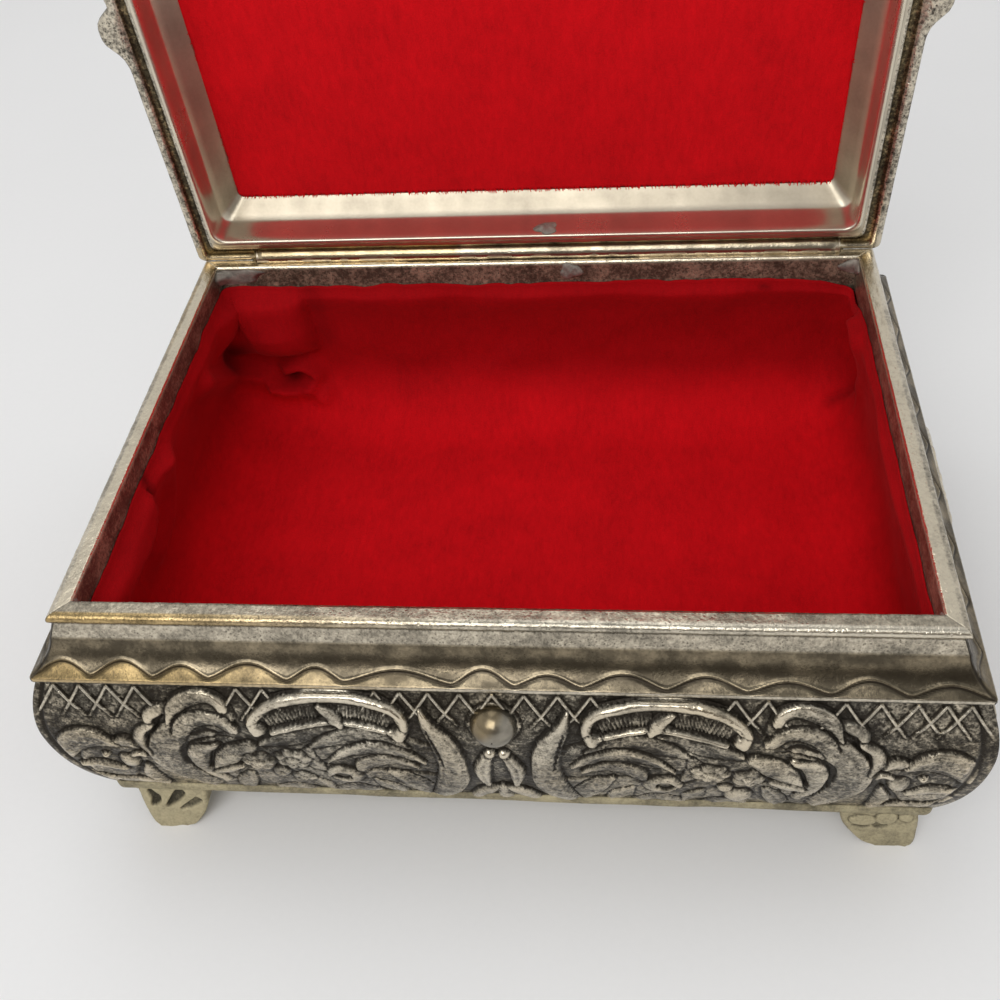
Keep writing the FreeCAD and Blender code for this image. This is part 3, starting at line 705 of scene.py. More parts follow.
VOLUTE = (
    (((35.4, 18.2), (37.0, 16.6), (39.2, 16.2), (42.2, 17.4), (45.0, 20.4), (46.3, 24.4), (45.6, 29.0),
      (43.0, 34.6)), (0.9, 1.1, 1.3, 1.7, 2.4, 2.9, 2.6, 1.2),
     dict(height=0.95, base=0.55, veins=3, vein=0.12, lean=-0.5)),
    (((43.0, 14.6), (45.0, 14.8), (46.6, 16.2), (46.8, 18.2)), (0.4, 0.9, 0.9, 0.3),
     dict(height=0.9, lean=0.4)),
    (((46.6, 17.6), (48.5, 18.9), (49.2, 21.0), (48.7, 23.6)), (0.4, 0.8, 0.9, 0.4),
     dict(height=0.95, lean=0.5)),
    (((36.0, 14.4), (36.6, 13.1), (38.2, 12.4), (40.2, 12.7), (42.4, 14.2), (44.0, 17.0)),
     (0.8, 0.9, 1.0, 1.2, 1.2, 0.3), dict(height=1.05, lean=-0.4)),
    (((38.6, 21.6), (41.0, 22.6), (42.1, 24.8), (41.8, 28.0), (40.2, 31.8)), (0.7, 1.5, 1.6, 1.5, 0.7),
     dict(height=0.85, base=0.45, trench=0.5, lean=-0.3)),
    (((33.8, 21.4), (36.0, 22.8), (38.4, 24.9), (40.6, 27.1)), (1.1, 1.9, 1.5, 0.2),
     dict(height=0.95, lean=0.4)),
    (((36.4, 26.6), (38.8, 27.9), (40.8, 28.6)), (0.5, 1.0, 0.4), dict(height=1.0, lean=-0.3)),
    (((35.8, 29.0), (37.2, 32.2), (38.6, 36.6)), (0.6, 1.5, 1.3), dict(height=0.75, veins=2, lean=0.5)),
    (((51.2, 36.4), (51.4, 31.6), (50.6, 27.4)), (0.9, 1.2, 0.3), dict(height=0.7, lean=0.5)),
)
VOLUTE_CUTS = (
    (((36.0, 19.8), (38.8, 19.8), (41.6, 20.8), (43.6, 22.6), (43.8, 25.4), (42.9, 29.2), (41.4, 32.2)),
     (0.12, 0.22, 0.32, 0.45, 0.48, 0.4, 0.15), 0.7),
    (((37.6, 20.8), (39.6, 23.6), (40.9, 27.0)), (0.12, 0.25, 0.38), 0.6),
    (((44.6, 15.9), (45.6, 16.6), (46.0, 17.8)), (0.2, 0.4, 0.2), 0.5),
    (((40.6, 14.4), (43.0, 16.3), (44.1, 18.8)), (0.12, 0.22, 0.12), 0.4),
    (((37.2, 19.1), (39.0, 18.3), (41.4, 19.3)), (0.2, 0.45, 0.2), 0.35),
)
LEAF_CUTS = ((((9.0, 17.0), (8.1, 20.6), (7.4, 25.0)), (0.12, 0.2, 0.1), 0.3),)
SPRIG = (
    (((50.4, 35.8), (54.0, 34.2), (58.4, 33.2), (60.4, 30.8)), (0.4, 1.0, 1.1, 0.4),
     dict(height=0.7)),
    (((54.2, 28.8), (57.0, 27.4), (60.4, 27.6)), (0.4, 1.6, 0.4), dict(height=0.85, veins=1, vein=0.3)),
    (((49.4, 24.4), (50.3, 23.8), (51.6, 24.4)), (0.3, 0.5, 0.3), dict(height=0.8)),
    (((50.2, 22.2), (51.4, 21.3), (53.4, 21.9)), (0.5, 1.4, 0.5), dict(height=0.85, lean=-0.4)),
    (((53.0, 22.0), (55.4, 20.9), (57.8, 20.9), (59.8, 22.4), (61.2, 25.4)), (0.5, 2.1, 2.4, 2.1, 0.6),
     dict(height=0.95, veins=2, vein=0.1, lean=-0.4)),
)
SPRIG_KNOBS = (
    (52.7, 26.2, 1.4, dict(height=0.85, tall=1.6)), (55.3, 24.2, 0.7, dict(height=1.0, tall=0.8)),
)
MIDDLE_LEAVES = (
    (((1.5, 22.6), (2.4, 26.0), (2.0, 30.2)), (0.8, 1.2, 0.5), dict(height=0.9, veins=2)),
    (((0.5, 31.4), (2.6, 33.6), (4.4, 36.8)), (0.5, 1.3, 0.8), dict(height=0.85)),
)
CENTRE_LEAVES = (
    (((0.0, 36.9), (0.0, 33.5), (0.0, 30.6)), (1.2, 0.9, 0.2), dict(height=0.8)),
)


SHELL_MIDDLE = 21.9
BOSS_REACH, BOSS_DEPTH = 7.4, 14.5


def on_belly(d):
    """Depth at which a line of the flat drawing lies on the swelling wall."""
    return d - 1.65 * math.exp(-(((d - 15.5) / 9.5) ** 2))


def draw(relief, strokes, shift=0.0, flip=1, stretch=(1.0, 1.0, 0.0)):
    """Lays a group of strokes, moved along the wall and turned over for its other half."""
    wide, high, lift = stretch
    for points, widths, form in strokes:
        points = [(flip * (x + shift) * wide, on_belly(d) * high + lift) for x, d in points]
        relief.stroke(points, [w * wide for w in widths], **dict(form, lean=flip * form.get("lean", 0)))


def set_knobs(relief, knobs, shift=0.0, flip=1, stretch=(1.0, 1.0, 0.0)):
    """Sets beads and flowers in the same way."""
    wide, high, lift = stretch
    for x, d, radius, form in knobs:
        relief.knob(flip * (x + shift) * wide, on_belly(d) * high + lift, radius * wide, **form)


def cut(relief, cuts, shift=0.0, flip=1):
    """Cuts dark lines in the same way."""
    for points, widths, depth in cuts:
        relief.pit([(flip * (x + shift), on_belly(d)) for x, d in points], widths, depth)


# Tops of the bars of the lattice under the moulding, from the middle of a wall
LONG_LATTICE = (
    (-58.8, -55.2, -51.4, -47.6), (-33.7, -30.2), (-15.3, -12.0, -8.3, -4.2, 0.0, 4.1, 8.4, 12.6),
    (30.6, 34.6), (44.0, 48.2, 52.6, 56.0, 58.9),
)
SHORT_LATTICE = ((-40.4, -37.0, -33.0, -29.2), (-14.2, -10.6), (10.8, 14.4), (29.4, 33.2, 37.0, 40.4))
LATTICE_TOP, LATTICE_FOOT, LATTICE_LEAN = 9.8, 14.8, 3.5


def lattice_bars(groups):
    """Ends of each bar, along the wall and down it."""
    return [((top, LATTICE_TOP), (top + lean, LATTICE_FOOT))
            for group in groups for top in group for lean in (-LATTICE_LEAN, LATTICE_LEAN)]


def chase_lattice(relief, groups):
    """The low ridge and dark line beside each bar of the lattice."""
    for bar in lattice_bars(groups):
        relief.stroke(bar, (0.2,), height=0.25, trench=0.32)


def chase_long(relief, boss):
    """Ornament of the front, and of the back without the ball."""
    chase_lattice(relief, LONG_LATTICE)
    for flip, flowers in ((1, RIGHT_FLOWERS), (-1, LEFT_FLOWERS)):
        for group in (MASSES, SPRIG, VOLUTE, BOUQUET, SHELL, UPRIGHT_LEAF, MIDDLE_LEAVES):
            draw(relief, group, flip=flip)
        for knobs in (SPRIG_KNOBS, SHELL_KNOBS, flowers, ((0.95, 21.5, 0.85, {}),)):
            set_knobs(relief, knobs, flip=flip)
        cut(relief, VOLUTE_CUTS + LEAF_CUTS, flip=flip)
    draw(relief, CENTRE_LEAVES)
    if boss:
        relief.knob(0, BOSS_DEPTH, 3.5, 0.1, trench=0.6)
    else:
        relief.knob(0, BOSS_DEPTH, 3.0, 1.3, petals=8)


def chase_short(relief, boss):
    """Ornament of a side: one shell between two volutes."""
    chase_lattice(relief, SHORT_LATTICE)
    for flip, flowers in ((1, RIGHT_FLOWERS), (-1, LEFT_FLOWERS)):
        for group in (MASSES[2:], SPRIG, VOLUTE):
            draw(relief, group, HALF_D - HALF_W, flip)
        set_knobs(relief, SPRIG_KNOBS, HALF_D - HALF_W, flip)
        cut(relief, VOLUTE_CUTS, HALF_D - HALF_W, flip)
        set_knobs(relief, flowers[2:], HALF_D - HALF_W, flip)
    draw(relief, MASSES[:2] + BOUQUET, -SHELL_MIDDLE)
    draw(relief, SHELL, -SHELL_MIDDLE)
    set_knobs(relief, SHELL_KNOBS, -SHELL_MIDDLE)
    set_knobs(relief, RIGHT_FLOWERS[:3], -SHELL_MIDDLE)


# Walls

# Part of the section, rows on it, its end as reach and depth, and a middle where it is an arc
SECTION = (
    ("land", 6, (1.9, 0.0), None), ("bead", 7, (2.4, 1.5), (2.75, 0.75)),
    ("band", 5, (3.3, 3.9), None), ("cove", 30, (6.6, 8.4), (4.4, 6.5)),
    ("edge", 3, (6.6, 9.0), None), ("step", 3, (6.2, 9.5), None),
    ("belly", 46, (8.3, 19.0), (7.75, 14.2)), ("belly", 86, (4.7, 37.5), (7.4, 28.3)),
    ("foot", 3, (2.0, 37.5), None),
    ("inside", 7, (0.0, 6.0), (4.6, 22.5)), ("collar", 7, (0.0, 0.0), None),
)
# Where a wall stands: from along it, out from the opening and up, to the frame's axes
PLACES = {
    "front": lambda x, e, z: (x, -HALF_D - e, z), "right": lambda x, e, z: (HALF_W + e, x, z),
    "back": lambda x, e, z: (-x, HALF_D + e, z), "left": lambda x, e, z: (-HALF_W - e, -x, z),
}
SEAT_RADIUS, MIDDLE_SEAT_RADIUS, LID_SEAT_RADIUS, SEAT_END = 1.55, 1.76, 1.78, 0.2
FRONT_TROUGHS = (-61, -53, -44.5, -37, -26.5, -19, -5, 3, 11.5, 22, 32, 42, 51.5, 61)


def wall_section():
    """Reach, depth and part of each row round a wall's section, and its outward direction."""
    rows, parts, start = [], [], (0.0, 0.0)
    for part, count, end, middle in SECTION:
        if middle:
            run = arc(start, middle, end, count)
        else:
            run = np.linspace(start, end, count, endpoint=False)
        rows.append(run)
        parts += [part] * count
        start = end
    rows = np.vstack(rows)
    step = np.roll(rows, -1, 0) - np.roll(rows, 1, 0)
    step /= np.linalg.norm(step, axis=1)[:, None]
    return rows, np.array(parts), np.stack([step[:, 1], -step[:, 0]], 1)


def belly_reach(depth):
    """How far the belly stands out at a depth below the rim."""
    rows, parts, _ = wall_section()
    belly = rows[parts == "belly"]
    return np.interp(depth, belly[:, 1], belly[:, 0])


def cast_wall(name, half, columns, chase, place, seed, sizes, glint_strength, strips, boss=False):
    """One wall as a closed casting, with its moulding, wave, chasing and plain end strips."""
    rows, parts, out = wall_section()
    reach, depth = rows[:, :1], rows[:, 1:]
    x = np.linspace(-1, 1, columns)[None, :] * (half + reach - 0.01)
    d = depth + 0 * x
    is_part = {part: (parts == part)[:, None] for part, *_ in SECTION}
    belly = is_part["belly"]
    to_end = half + reach - np.abs(x)
    to_strip = to_end - np.where(x < 0, *strips)

    relief = Relief(x, d, sizes.relief / MM)
    chase(relief, boss)
    work = relief.height
    work = work + 0.06 * grain(x, d, 1.3, seed) + 0.06 * grain(x, d, 0.6, seed + 1)
    ground = sizes.ground / MM
    fade = ease(to_strip, 0.2, 1.4) * ease(d, 9.6, 10.1) * (1 - ease(d, 36.4, 37.4))
    raised = np.where(belly, (np.maximum(work, -0.25) - ground) * fade, 0.0)

    # The wave along the cove
    rng = np.random.default_rng(seed)
    if boss:
        troughs = np.array(FRONT_TROUGHS, float)
    else:
        troughs = np.arange(-half - 9, half + 12, 9.3)
        troughs = troughs + rng.uniform(-1.1, 1.1, len(troughs))
    share = np.zeros(len(rows))
    share[parts == "cove"] = np.linspace(0, 1, (parts == "cove").sum())
    share = share[:, None] + 0 * x
    k = np.clip(np.searchsorted(troughs, x) - 1, 0, len(troughs) - 2)
    t = np.clip((x - troughs[k]) / (troughs[k + 1] - troughs[k]), 0, 1)
    hump = (0.5 - 0.5 * np.cos(2 * math.pi * t)) ** 0.7
    along = np.clip(0.5 - x / (2 * half), 0, 1)
    crest = 0.92 - 0.06 * along - (0.27 + 0.07 * along + 0.05 * np.sin(k * 2.4)) * hump
    off = (share - crest) * 5.4
    wave = 0.17 * np.exp(-((off / 0.17) ** 2)) - 0.06 * np.exp(-(((off - 0.40) / 0.2) ** 2))
    wave += 0.07 * ease(off, 0.3, 0.9)
    raised = np.where(is_part["cove"], wave * ease(to_end, 0.2, 0.9), raised)

    # Rubbed, pitted land and the seam of each strip
    rubbed = 0.025 * grain(x, d * 3 + reach * 3, 1.1, seed + 2) + 0.02 * grain(x, reach * 3, 0.5, seed)
    rubbed = rubbed * ease(to_end, 0.0, 1.0)
    raised = np.where(is_part["land"] | is_part["bead"] | is_part["band"], rubbed, raised)
    seam = np.where(belly, np.exp(-((to_strip / 0.24) ** 2)), 0.0)
    mitre = is_part["band"] | is_part["cove"] | is_part["edge"] | is_part["step"]
    seam = np.where(mitre, np.exp(-((to_end / 0.24) ** 2)), seam)
    raised = raised - sizes.seam / MM * seam

    # Where the casting is rubbed, tarnished or polished, and where highlights, a reflection and shade are
    # painted on it
    lift = work - soften(work, 5, 5)
    broad = work - soften(work, 16, 16)
    wear = 0.33 + 1.0 * lift + 0.15 * broad + 0.16 * grain(x, d, 5.0, seed + 3)
    # The last term lightens the lower belly: a painted reflection of the table
    wear += 0.12 * grain(x, d, 1.6, seed + 5) + 0.10 * ease(d, 15, 26)
    wear = np.where(belly, wear, 0.42)
    warm = np.where(belly, 0.30 + 0.12 * grain(x, d, 9.0, seed + 4), 0.2)
    polish = np.where(belly, 0.10 + 1.2 * np.clip(lift, 0, 0.6), 0.2)
    # A painted warm highlight towards one end of the mouldings, stronger on some walls than others
    glint = glint_strength * ease(along, 0.45, 0.95)
    low, wire = ease(off, -0.1, 0.3), np.exp(-((off / 0.22) ** 2))
    values = {
        "land": (0.62 if boss else 1.0, 0.30, 0.60),
        # The bead is lighter towards one end: a painted highlight
        "bead": (0.70 + 0.2 * ease(along, 0.35, 0.1), 0.20 + 0.7 * glint, 0.55),
        "band": (0.66, 0.24, 0.55),
        "cove": (0.34 + 0.02 * low + 0.10 * glint * low + 0.16 * wire, 0.55 + 0.35 * glint * low, 0.85),
        # The step under the edge is painted almost black: a painted shadow
        "edge": (0.74, 0.2 + 0.6 * glint, 0.6), "step": (0.05, 0.3, 0.0),
        "collar": (0.40, 0.45, 0.45), "inside": (0.3, 0.3, 0.1), "foot": (0.3, 0.3, 0.1),
    }
    for part, (w, g, p) in values.items():
        patch = 0.11 * grain(x, d * 2 + reach * 2, 3.2, seed + 6)
        wear = np.where(is_part[part], w + patch, wear)
        warm, polish = np.where(is_part[part], g, warm), np.where(is_part[part], p, polish)
    # Dark lines: patina with painted shade in the chasing's grooves and the seams, and a painted shadow
    # under the wave's wire
    shadow = np.where(belly, relief.crevice * ease(to_strip, 0.0, 0.8), 0.0)
    shadow = np.maximum(shadow, np.exp(-((to_strip / 0.30) ** 2)) * belly)
    shadow = np.maximum(shadow, np.exp(-((to_end / 0.22) ** 2)) * mitre)
    shadow = np.maximum(shadow, 0.8 * np.exp(-(((off - 0.36) / 0.13) ** 2)) * is_part["cove"])

    e = reach + raised * out[:, :1]
    d = depth + raised * out[:, 1:]
    points = np.stack(np.broadcast_arrays(*place(x, e, RIM - d)), -1).reshape(-1, 3)
    points[:, 1] += MIDDLE_Y
    count = len(rows)
    ends = np.arange(count) * columns
    piece = build(
        name, points, weave(count, columns, close_rows=True),
        (ends[::-1], ends + columns - 1),
        wear=np.clip(wear, 0, 1), warm=np.clip(warm, 0, 1), polish=np.clip(polish, 0, 1),
        crevice=np.clip(shadow, 0, 1), dull=is_part["collar"] + 0 * x)
    return piece


def clear_barrel(piece, ends, radius):
    """Presses a casting back to the round seat of the hinge barrel."""
    left, right = ends[0] - SEAT_END, ends[1] + SEAT_END
    count = len(piece.data.vertices)
    flat = np.empty(count * 3, np.float32)
    piece.data.vertices.foreach_get("co", flat)
    points = flat.reshape(-1, 3) / MM
    gy, gz = points[:, 1] - HINGE_Y - MIDDLE_Y, points[:, 2] - HINGE_Z
    gap = np.maximum(np.hypot(gy, gz), 1e-6)
    inside = (gap < radius) & (points[:, 0] > left) & (points[:, 0] < right)
    points[inside, 1] += (gy * (radius / gap - 1))[inside]
    points[inside, 2] += (gz * (radius / gap - 1))[inside]
    piece.data.vertices.foreach_set("co", (points * MM).astype(np.float32).ravel())
    piece.data.update()


class CASKET_OT_walls(bpy.types.Operator):
    """Casts the four walls with their mouldings and chased bellies"""

    bl_idname = "casket.walls"
    bl_label = "Walls"

    def execute(self, context):
        sizes = context.scene.casket_sizes
        metal = finish("antiqued metal", antiqued_metal)
        # The last number of each wall is the strength of its painted warm highlight
        walls = (
            ("front", HALF_W, 560, chase_long, 11, 1.0), ("right", HALF_D, 380, chase_short, 23, 0.1),
            ("back", HALF_W, 480, chase_long, 37, 0.3), ("left", HALF_D, 380, chase_short, 53, 0.6),
        )
        for side, half, columns, chase, seed, glint_strength in walls:
            strips = (1.1, 1.9) if side == "front" else (0.3, 0.3)
            piece = cast_wall(
                side + "_wall_casting", half, columns, chase, PLACES[side], seed, sizes, glint_strength, strips,
                boss=side == "front")
            if side == "back":
                clear_barrel(piece, BARREL, SEAT_RADIUS)
                clear_barrel(piece, MIDDLE_BARREL, MIDDLE_SEAT_RADIUS)
            seat(piece, metal, "box", "antiqued_white_metal", side + "_wall")
        return {"FINISHED"}


class CASKET_OT_boss(bpy.types.Operator):
    """Sets the polished ball in the middle of the front"""

    bl_idname = "casket.boss"
    bl_label = "Front ball"

    def execute(self, context):
        radius = context.scene.casket_sizes.boss / MM
        rings, spokes = 26, 64
        tilt = np.linspace(0.03, math.pi * 0.56, rings)[:, None]
        turn = np.linspace(0, 2 * math.pi, spokes, endpoint=False)[None, :]
        x = radius * np.sin(tilt) * np.cos(turn)
        z = radius * np.sin(tilt) * np.sin(turn)
        y = -radius * np.cos(tilt) + 0 * turn
        dent = 1 + 0.012 * grain(x + 5, z + 5, 1.1, 5)
        middle = MIDDLE_Y - HALF_D - BOSS_REACH
        points = np.stack([x * dent, y * dent + middle, z * dent + RIM - BOSS_DEPTH], -1)
        points = points.reshape(-1, 3)
        # Darker round its foot against the wall: patina with painted shade. Warmer towards its upper left:
        # a painted warm highlight.
        wear = 0.29 - 0.2 * ease(tilt, 1.2, 1.55) + 0.1 * grain(x + 5, z + 5, 0.7, 6)
        warm = 0.15 + 0.5 * ease(-x + z, 0.5, 2.5)
        quads = weave(rings, spokes, close_columns=True)
        last = (rings - 1) * spokes
        caps = (np.arange(spokes)[::-1], np.arange(last, last + spokes))
        piece = build("front_ball", points, quads[:, ::-1], [c[::-1] for c in caps],
                      wear=np.clip(wear, 0, 1), warm=warm, gloss=np.ones_like(warm))
        seat(piece, finish("polished metal", polished_metal), "box", "antiqued_white_metal")
        return {"FINISHED"}


def lattice_lines(groups, place, ground):
    """Bars that cross under the moulding, each along the belly and sinking in at its foot."""
    lines = []
    share = np.linspace(0, 1, 7)
    for (top, high), (foot, low) in lattice_bars(groups):
        x, d = top + (foot - top) * share, high + (low - high) * share
        e = belly_reach(d) - ground + 0.12 - 0.55 * ease(share, 0.68, 1.0)
        line = np.stack(np.broadcast_arrays(*place(x, e, RIM - d)), -1)
        line[:, 1] += MIDDLE_Y
        lines.append(line)
    return lines


class CASKET_OT_lattice(bpy.types.Operator):
    """Lays the lattice of crossed bars under the mouldings"""

    bl_idname = "casket.lattice"
    bl_label = "Lattice"

    def execute(self, context):
        sizes = context.scene.casket_sizes
        ground = sizes.ground / MM
        lines = []
        for side, place in PLACES.items():
            groups = LONG_LATTICE if side in ("front", "back") else SHORT_LATTICE
            lines += lattice_lines(groups, place, ground)
        piece = rods(
            "wall_lattice", lines, sizes.lattice / MM, 7, finish("antiqued metal", antiqued_metal))
        set_marks(piece.data, wear=0.74, warm=0.2, polish=0.3)
        seat(piece, None, "box", "antiqued_white_metal")
        return {"FINISHED"}


# Base and feet

def rounded_corner(points, half_x, half_y, radius):
    """Moves points near the corners of a rectangle on to its rounded corners."""
    gap = np.abs(points) - (np.stack([half_x, half_y], -1) - np.asarray(radius)[..., None])
    long = np.linalg.norm(gap, axis=-1)
    inside = (gap > 0).all(-1) & (long > 0)
    short = np.max(gap, -1)
    scale = np.where(inside, short / np.where(inside, long, 1), 1.0)[..., None]
    base = np.stack([half_x, half_y], -1) - np.asarray(radius)[..., None]
    moved = (base + gap * scale) * np.sign(points)
    return np.where(inside[..., None], moved, points)


def ring_points(left, right, front, back, radius, counts=(150, 100), corner=9):
    """Points round a rounded rectangle, from its front left corner and first along the front."""
    wide, deep = counts
    x0, x1, y0, y1 = -left + radius, right - radius, -front + radius, back - radius
    swing = np.linspace(0, math.pi / 2, corner, endpoint=False)

    def bend(cx, cy, start):
        return np.stack([cx + radius * np.cos(start + swing), cy + radius * np.sin(start + swing)], 1)

    def run(ax, ay, bx, by, count):
        return np.linspace((ax, ay), (bx, by), count, endpoint=False)

    quarter = math.pi / 2
    return np.vstack([
        run(x0, -front, x1, -front, wide), bend(x1, y0, -quarter),
        run(right, y0, right, y1, deep), bend(x1, y1, 0),
        run(x1, back, x0, back, wide), bend(x0, y1, quarter),
        run(-left, y1, -left, y0, deep), bend(x0, y0, 2 * quarter),
    ])


BASE_CORNER = 1.6


class CASKET_OT_base(bpy.types.Operator):
    """Casts the base plate and the four bracket feet"""

    bl_idname = "casket.base"
    bl_label = "Base and feet"

    def execute(self, context):
        metal = finish("pale metal", pale_metal)
        low, high = span("base_plate")
        half_x, half_y = high[0], (high[1] - low[1]) / 2
        rows = ((1.2, low[2]), (0.25, low[2] + 0.05), (0.0, low[2] + 0.35), (0.0, high[2] - 0.3),
                (0.3, high[2]), (1.4, high[2]))
        rings, wear = [], []
        for inset, z in rows:
            wide, deep = half_x - inset, half_y - inset
            flat = ring_points(wide, wide, deep, deep, BASE_CORNER - inset / 2)
            wave = 0.12 * grain(flat[:, 0], flat[:, 1], 6.0, 3)
            out = flat / np.array([half_x, half_y])
            rings.append(np.c_[flat + out * wave[:, None] - out * 0.12, np.full(len(flat), z)])
            wear.append(np.full(len(flat), 0.55) + 0.2 * grain(flat[:, 0], flat[:, 1], 3.0, 4))
        points = np.vstack(rings)
        points[:, 1] += MIDDLE_Y
        count = len(rings[0])
        last = (len(rows) - 1) * count
        piece = build(
            "base_casting", points, weave(len(rows), count, close_columns=True)[:, ::-1],
            (np.arange(count)[::-1], np.arange(last, last + count)), wear=np.concatenate(wear))
        seat(piece, metal, "box", "pale_white_metal", "base_plate")
        for side_y, deep in ((-1, "front"), (1, "back")):
            for side_x, wide in ((-1, "left"), (1, "right")):
                node = deep + "_" + wide + "_foot"
                seat(bracket_foot(node, side_x, side_y), metal, "box", "pale_white_metal", node)
        return {"FINISHED"}


# Gouges of a foot: lines across it from its outer edge and down it, then half-width and depth
LEFT_GOUGES = (
    (((2.0, 0.9), (2.6, 2.2), (2.0, 3.4)), (0.6, 0.9, 0.5), 0.75),
    (((6.6, 1.0), (5.6, 2.2), (4.2, 3.6)), (0.9, 0.8, 0.35), 0.7),
    (((9.3, 2.2), (7.8, 3.3), (6.4, 4.0)), (0.7, 0.6, 0.3), 0.55),
)
RIGHT_GOUGES = (
    (((8.7, 3.0), (7.6, 3.3), (6.5, 3.1)), (0.25, 0.45, 0.25), 0.30),
    (((6.0, 2.6), (5.1, 3.0), (4.1, 2.8)), (0.25, 0.70, 0.25), 0.35),
)
# Lumps of a right foot: place across it and down it, radius and form
RIGHT_LUMPS = (
    (7.4, 1.9, 2.0, dict(height=0.3, tall=0.5)), (4.2, 1.3, 1.6, dict(height=0.3, tall=0.8)),
    (1.6, 1.2, 1.0, dict(height=0.25, tall=0.85)),
)
FOOT_LEAN = {-1: 1.4, 1: -0.2}
FOOT_WEAR = {-1: 0.74, 1: 0.66}
FOOT_TOP, FOOT_TOE, FOOT_THICKNESS = 10.8, 6.4, 3.0


def bracket_foot(node, side_x, side_y):
    """A foot with cuts or lumps in its face, a bowed flank and worn edges."""
    low, high = span(node)
    height = high[2]
    lean = FOOT_LEAN[side_x]
    flare = high[1] - low[1] - FOOT_THICKNESS
    top_outer = (high[0] if side_x > 0 else -low[0]) + min(lean, 0)
    top_inner = top_outer - FOOT_TOP
    low_outer, low_inner = top_outer - lean, top_outer - lean - FOOT_TOE
    rows, columns = 56, 72
    v = np.linspace(0, 1, rows)[:, None]
    u = np.linspace(0, 1, columns)[None, :]
    bow = 1.1 * 4 * v * (1 - v)
    inner = top_inner + (low_inner - top_inner) * v - bow
    outer = top_outer + (low_outer - top_outer) * v + 0.25 * np.sin(v * math.pi)
    foot_round = 0.9 * ease(v, 0.86, 1.0) ** 2
    inner, outer = inner + foot_round, outer - foot_round * 0.8
    x = outer + (inner - outer) * u
    across, down = top_outer - x, v * height + 0 * u
    relief = Relief(across, down, 1.0)
    for points, widths, depth in LEFT_GOUGES if side_x < 0 else RIGHT_GOUGES:
        relief.pit(points, widths, depth)
    if side_x > 0:
        set_knobs(relief, RIGHT_LUMPS)
    rough = 0.16 * grain(across, down, 2.0, 7 + side_x) + 0.07 * grain(across, down, 0.8, 9 + side_x)
    work = relief.height + rough * ease(v, 0, 0.1)
    edge = np.minimum(u, 1 - u)
    work = work - 0.35 * np.exp(-((edge / 0.03) ** 2)) - 0.12
    y_front = -flare * v - np.where(v > 0.02, work, 0.0)
    face = np.stack(np.broadcast_arrays(x, y_front, height - down), -1)
    y_back = FOOT_THICKNESS - flare * v + 0 * u
    back = np.stack(np.broadcast_arrays(x, y_back, height - down), -1)
    loop = np.concatenate([face, back[:, ::-6]], 1)
    front = (low[1] + flare) if side_y < 0 else (high[1] - flare)
    points = loop.reshape(-1, 3)
    points = np.stack([
        side_x * points[:, 0], front - side_y * points[:, 1], points[:, 2]], 1)
    count = loop.shape[1]
    quads = weave(rows, count, close_columns=True)
    caps = [np.arange(count)[::-1], np.arange((rows - 1) * count, rows * count)]
    if side_x * side_y < 0:
        quads, caps = quads[:, ::-1], [c[::-1] for c in caps]
    wear = np.full(loop.shape[:2], 0.55)
    lift = work - soften(work, 3, 3)
    wear[:, :columns] = FOOT_WEAR[side_x] + 0.85 * np.minimum(relief.height, 0) + 0.9 * lift
    return build(node.replace("foot", "bracket"), points, quads, caps, wear=np.clip(wear, 0, 1))


# Solder

def corner_lump(sx, sy, legs, height, seed):
    """Solder run into an inner corner of the rim, with an uneven face."""
    levels, steps = 16, 15
    rng = np.random.default_rng(seed)
    phase = rng.uniform(0, 6, 4)
    rings = []
    for z in np.linspace(0, 1, levels):
        swell = math.sin(math.pi * min(max(z, 0.02), 0.98)) ** 0.35
        leg_x = legs[0] * swell * (1 + 0.18 * math.sin(5 * z + phase[0]))
        leg_y = legs[1] * swell * (1 + 0.18 * math.sin(6 * z + phase[1]))
        t = np.linspace(0, 1, steps)
        hollow = 1 - 0.45 * np.sin(math.pi * t) + 0.1 * np.sin(7 * t + 4 * z + phase[2])
        ax, ay = leg_x * (1 - t) * hollow, leg_y * t * hollow
        ring = [(-0.05, -0.05)] + list(zip(ax, ay))
        level = RIM - 0.5 - z * height
        rings.append([(sx * (HALF_W - px), sy * (HALF_D - py), level) for px, py in ring])
    points = np.array(rings).reshape(-1, 3)
    count = steps + 1
    quads = weave(levels, count, close_columns=True)
    caps = [np.arange(count)[::-1], np.arange((levels - 1) * count, levels * count)]
    if sx * sy > 0:
        return points, quads, caps
    return points, quads[:, ::-1], [c[::-1] for c in caps]


DAB_RADIUS, DAB_HEIGHT = 1.5, 0.62


def dab_points(radius, height, seed):
    """A flat lump of solder lying on the plane of its first two coordinates."""
    rings, spokes = 9, 30
    turn = np.linspace(0, 2 * math.pi, spokes, endpoint=False)[None, :]
    tilt = np.linspace(math.pi / 2, 0.06, rings)[:, None]
    uneven = 1 + 0.16 * np.sin(3 * turn + seed) + 0.08 * np.sin(5 * turn + 2 * seed)
    a = radius * uneven * np.sin(tilt) * np.cos(turn) * 1.25
    b = radius * uneven * np.sin(tilt) * np.sin(turn)
    rise = height * np.cos(tilt) * (1 + 0.2 * np.sin(4 * a + seed) * np.cos(3 * b))
    quads = weave(rings, spokes, close_columns=True)
    last = (rings - 1) * spokes
    caps = [np.arange(spokes), np.arange(last, last + spokes)[::-1]]
    return a.ravel(), b.ravel(), rise.ravel(), quads, caps


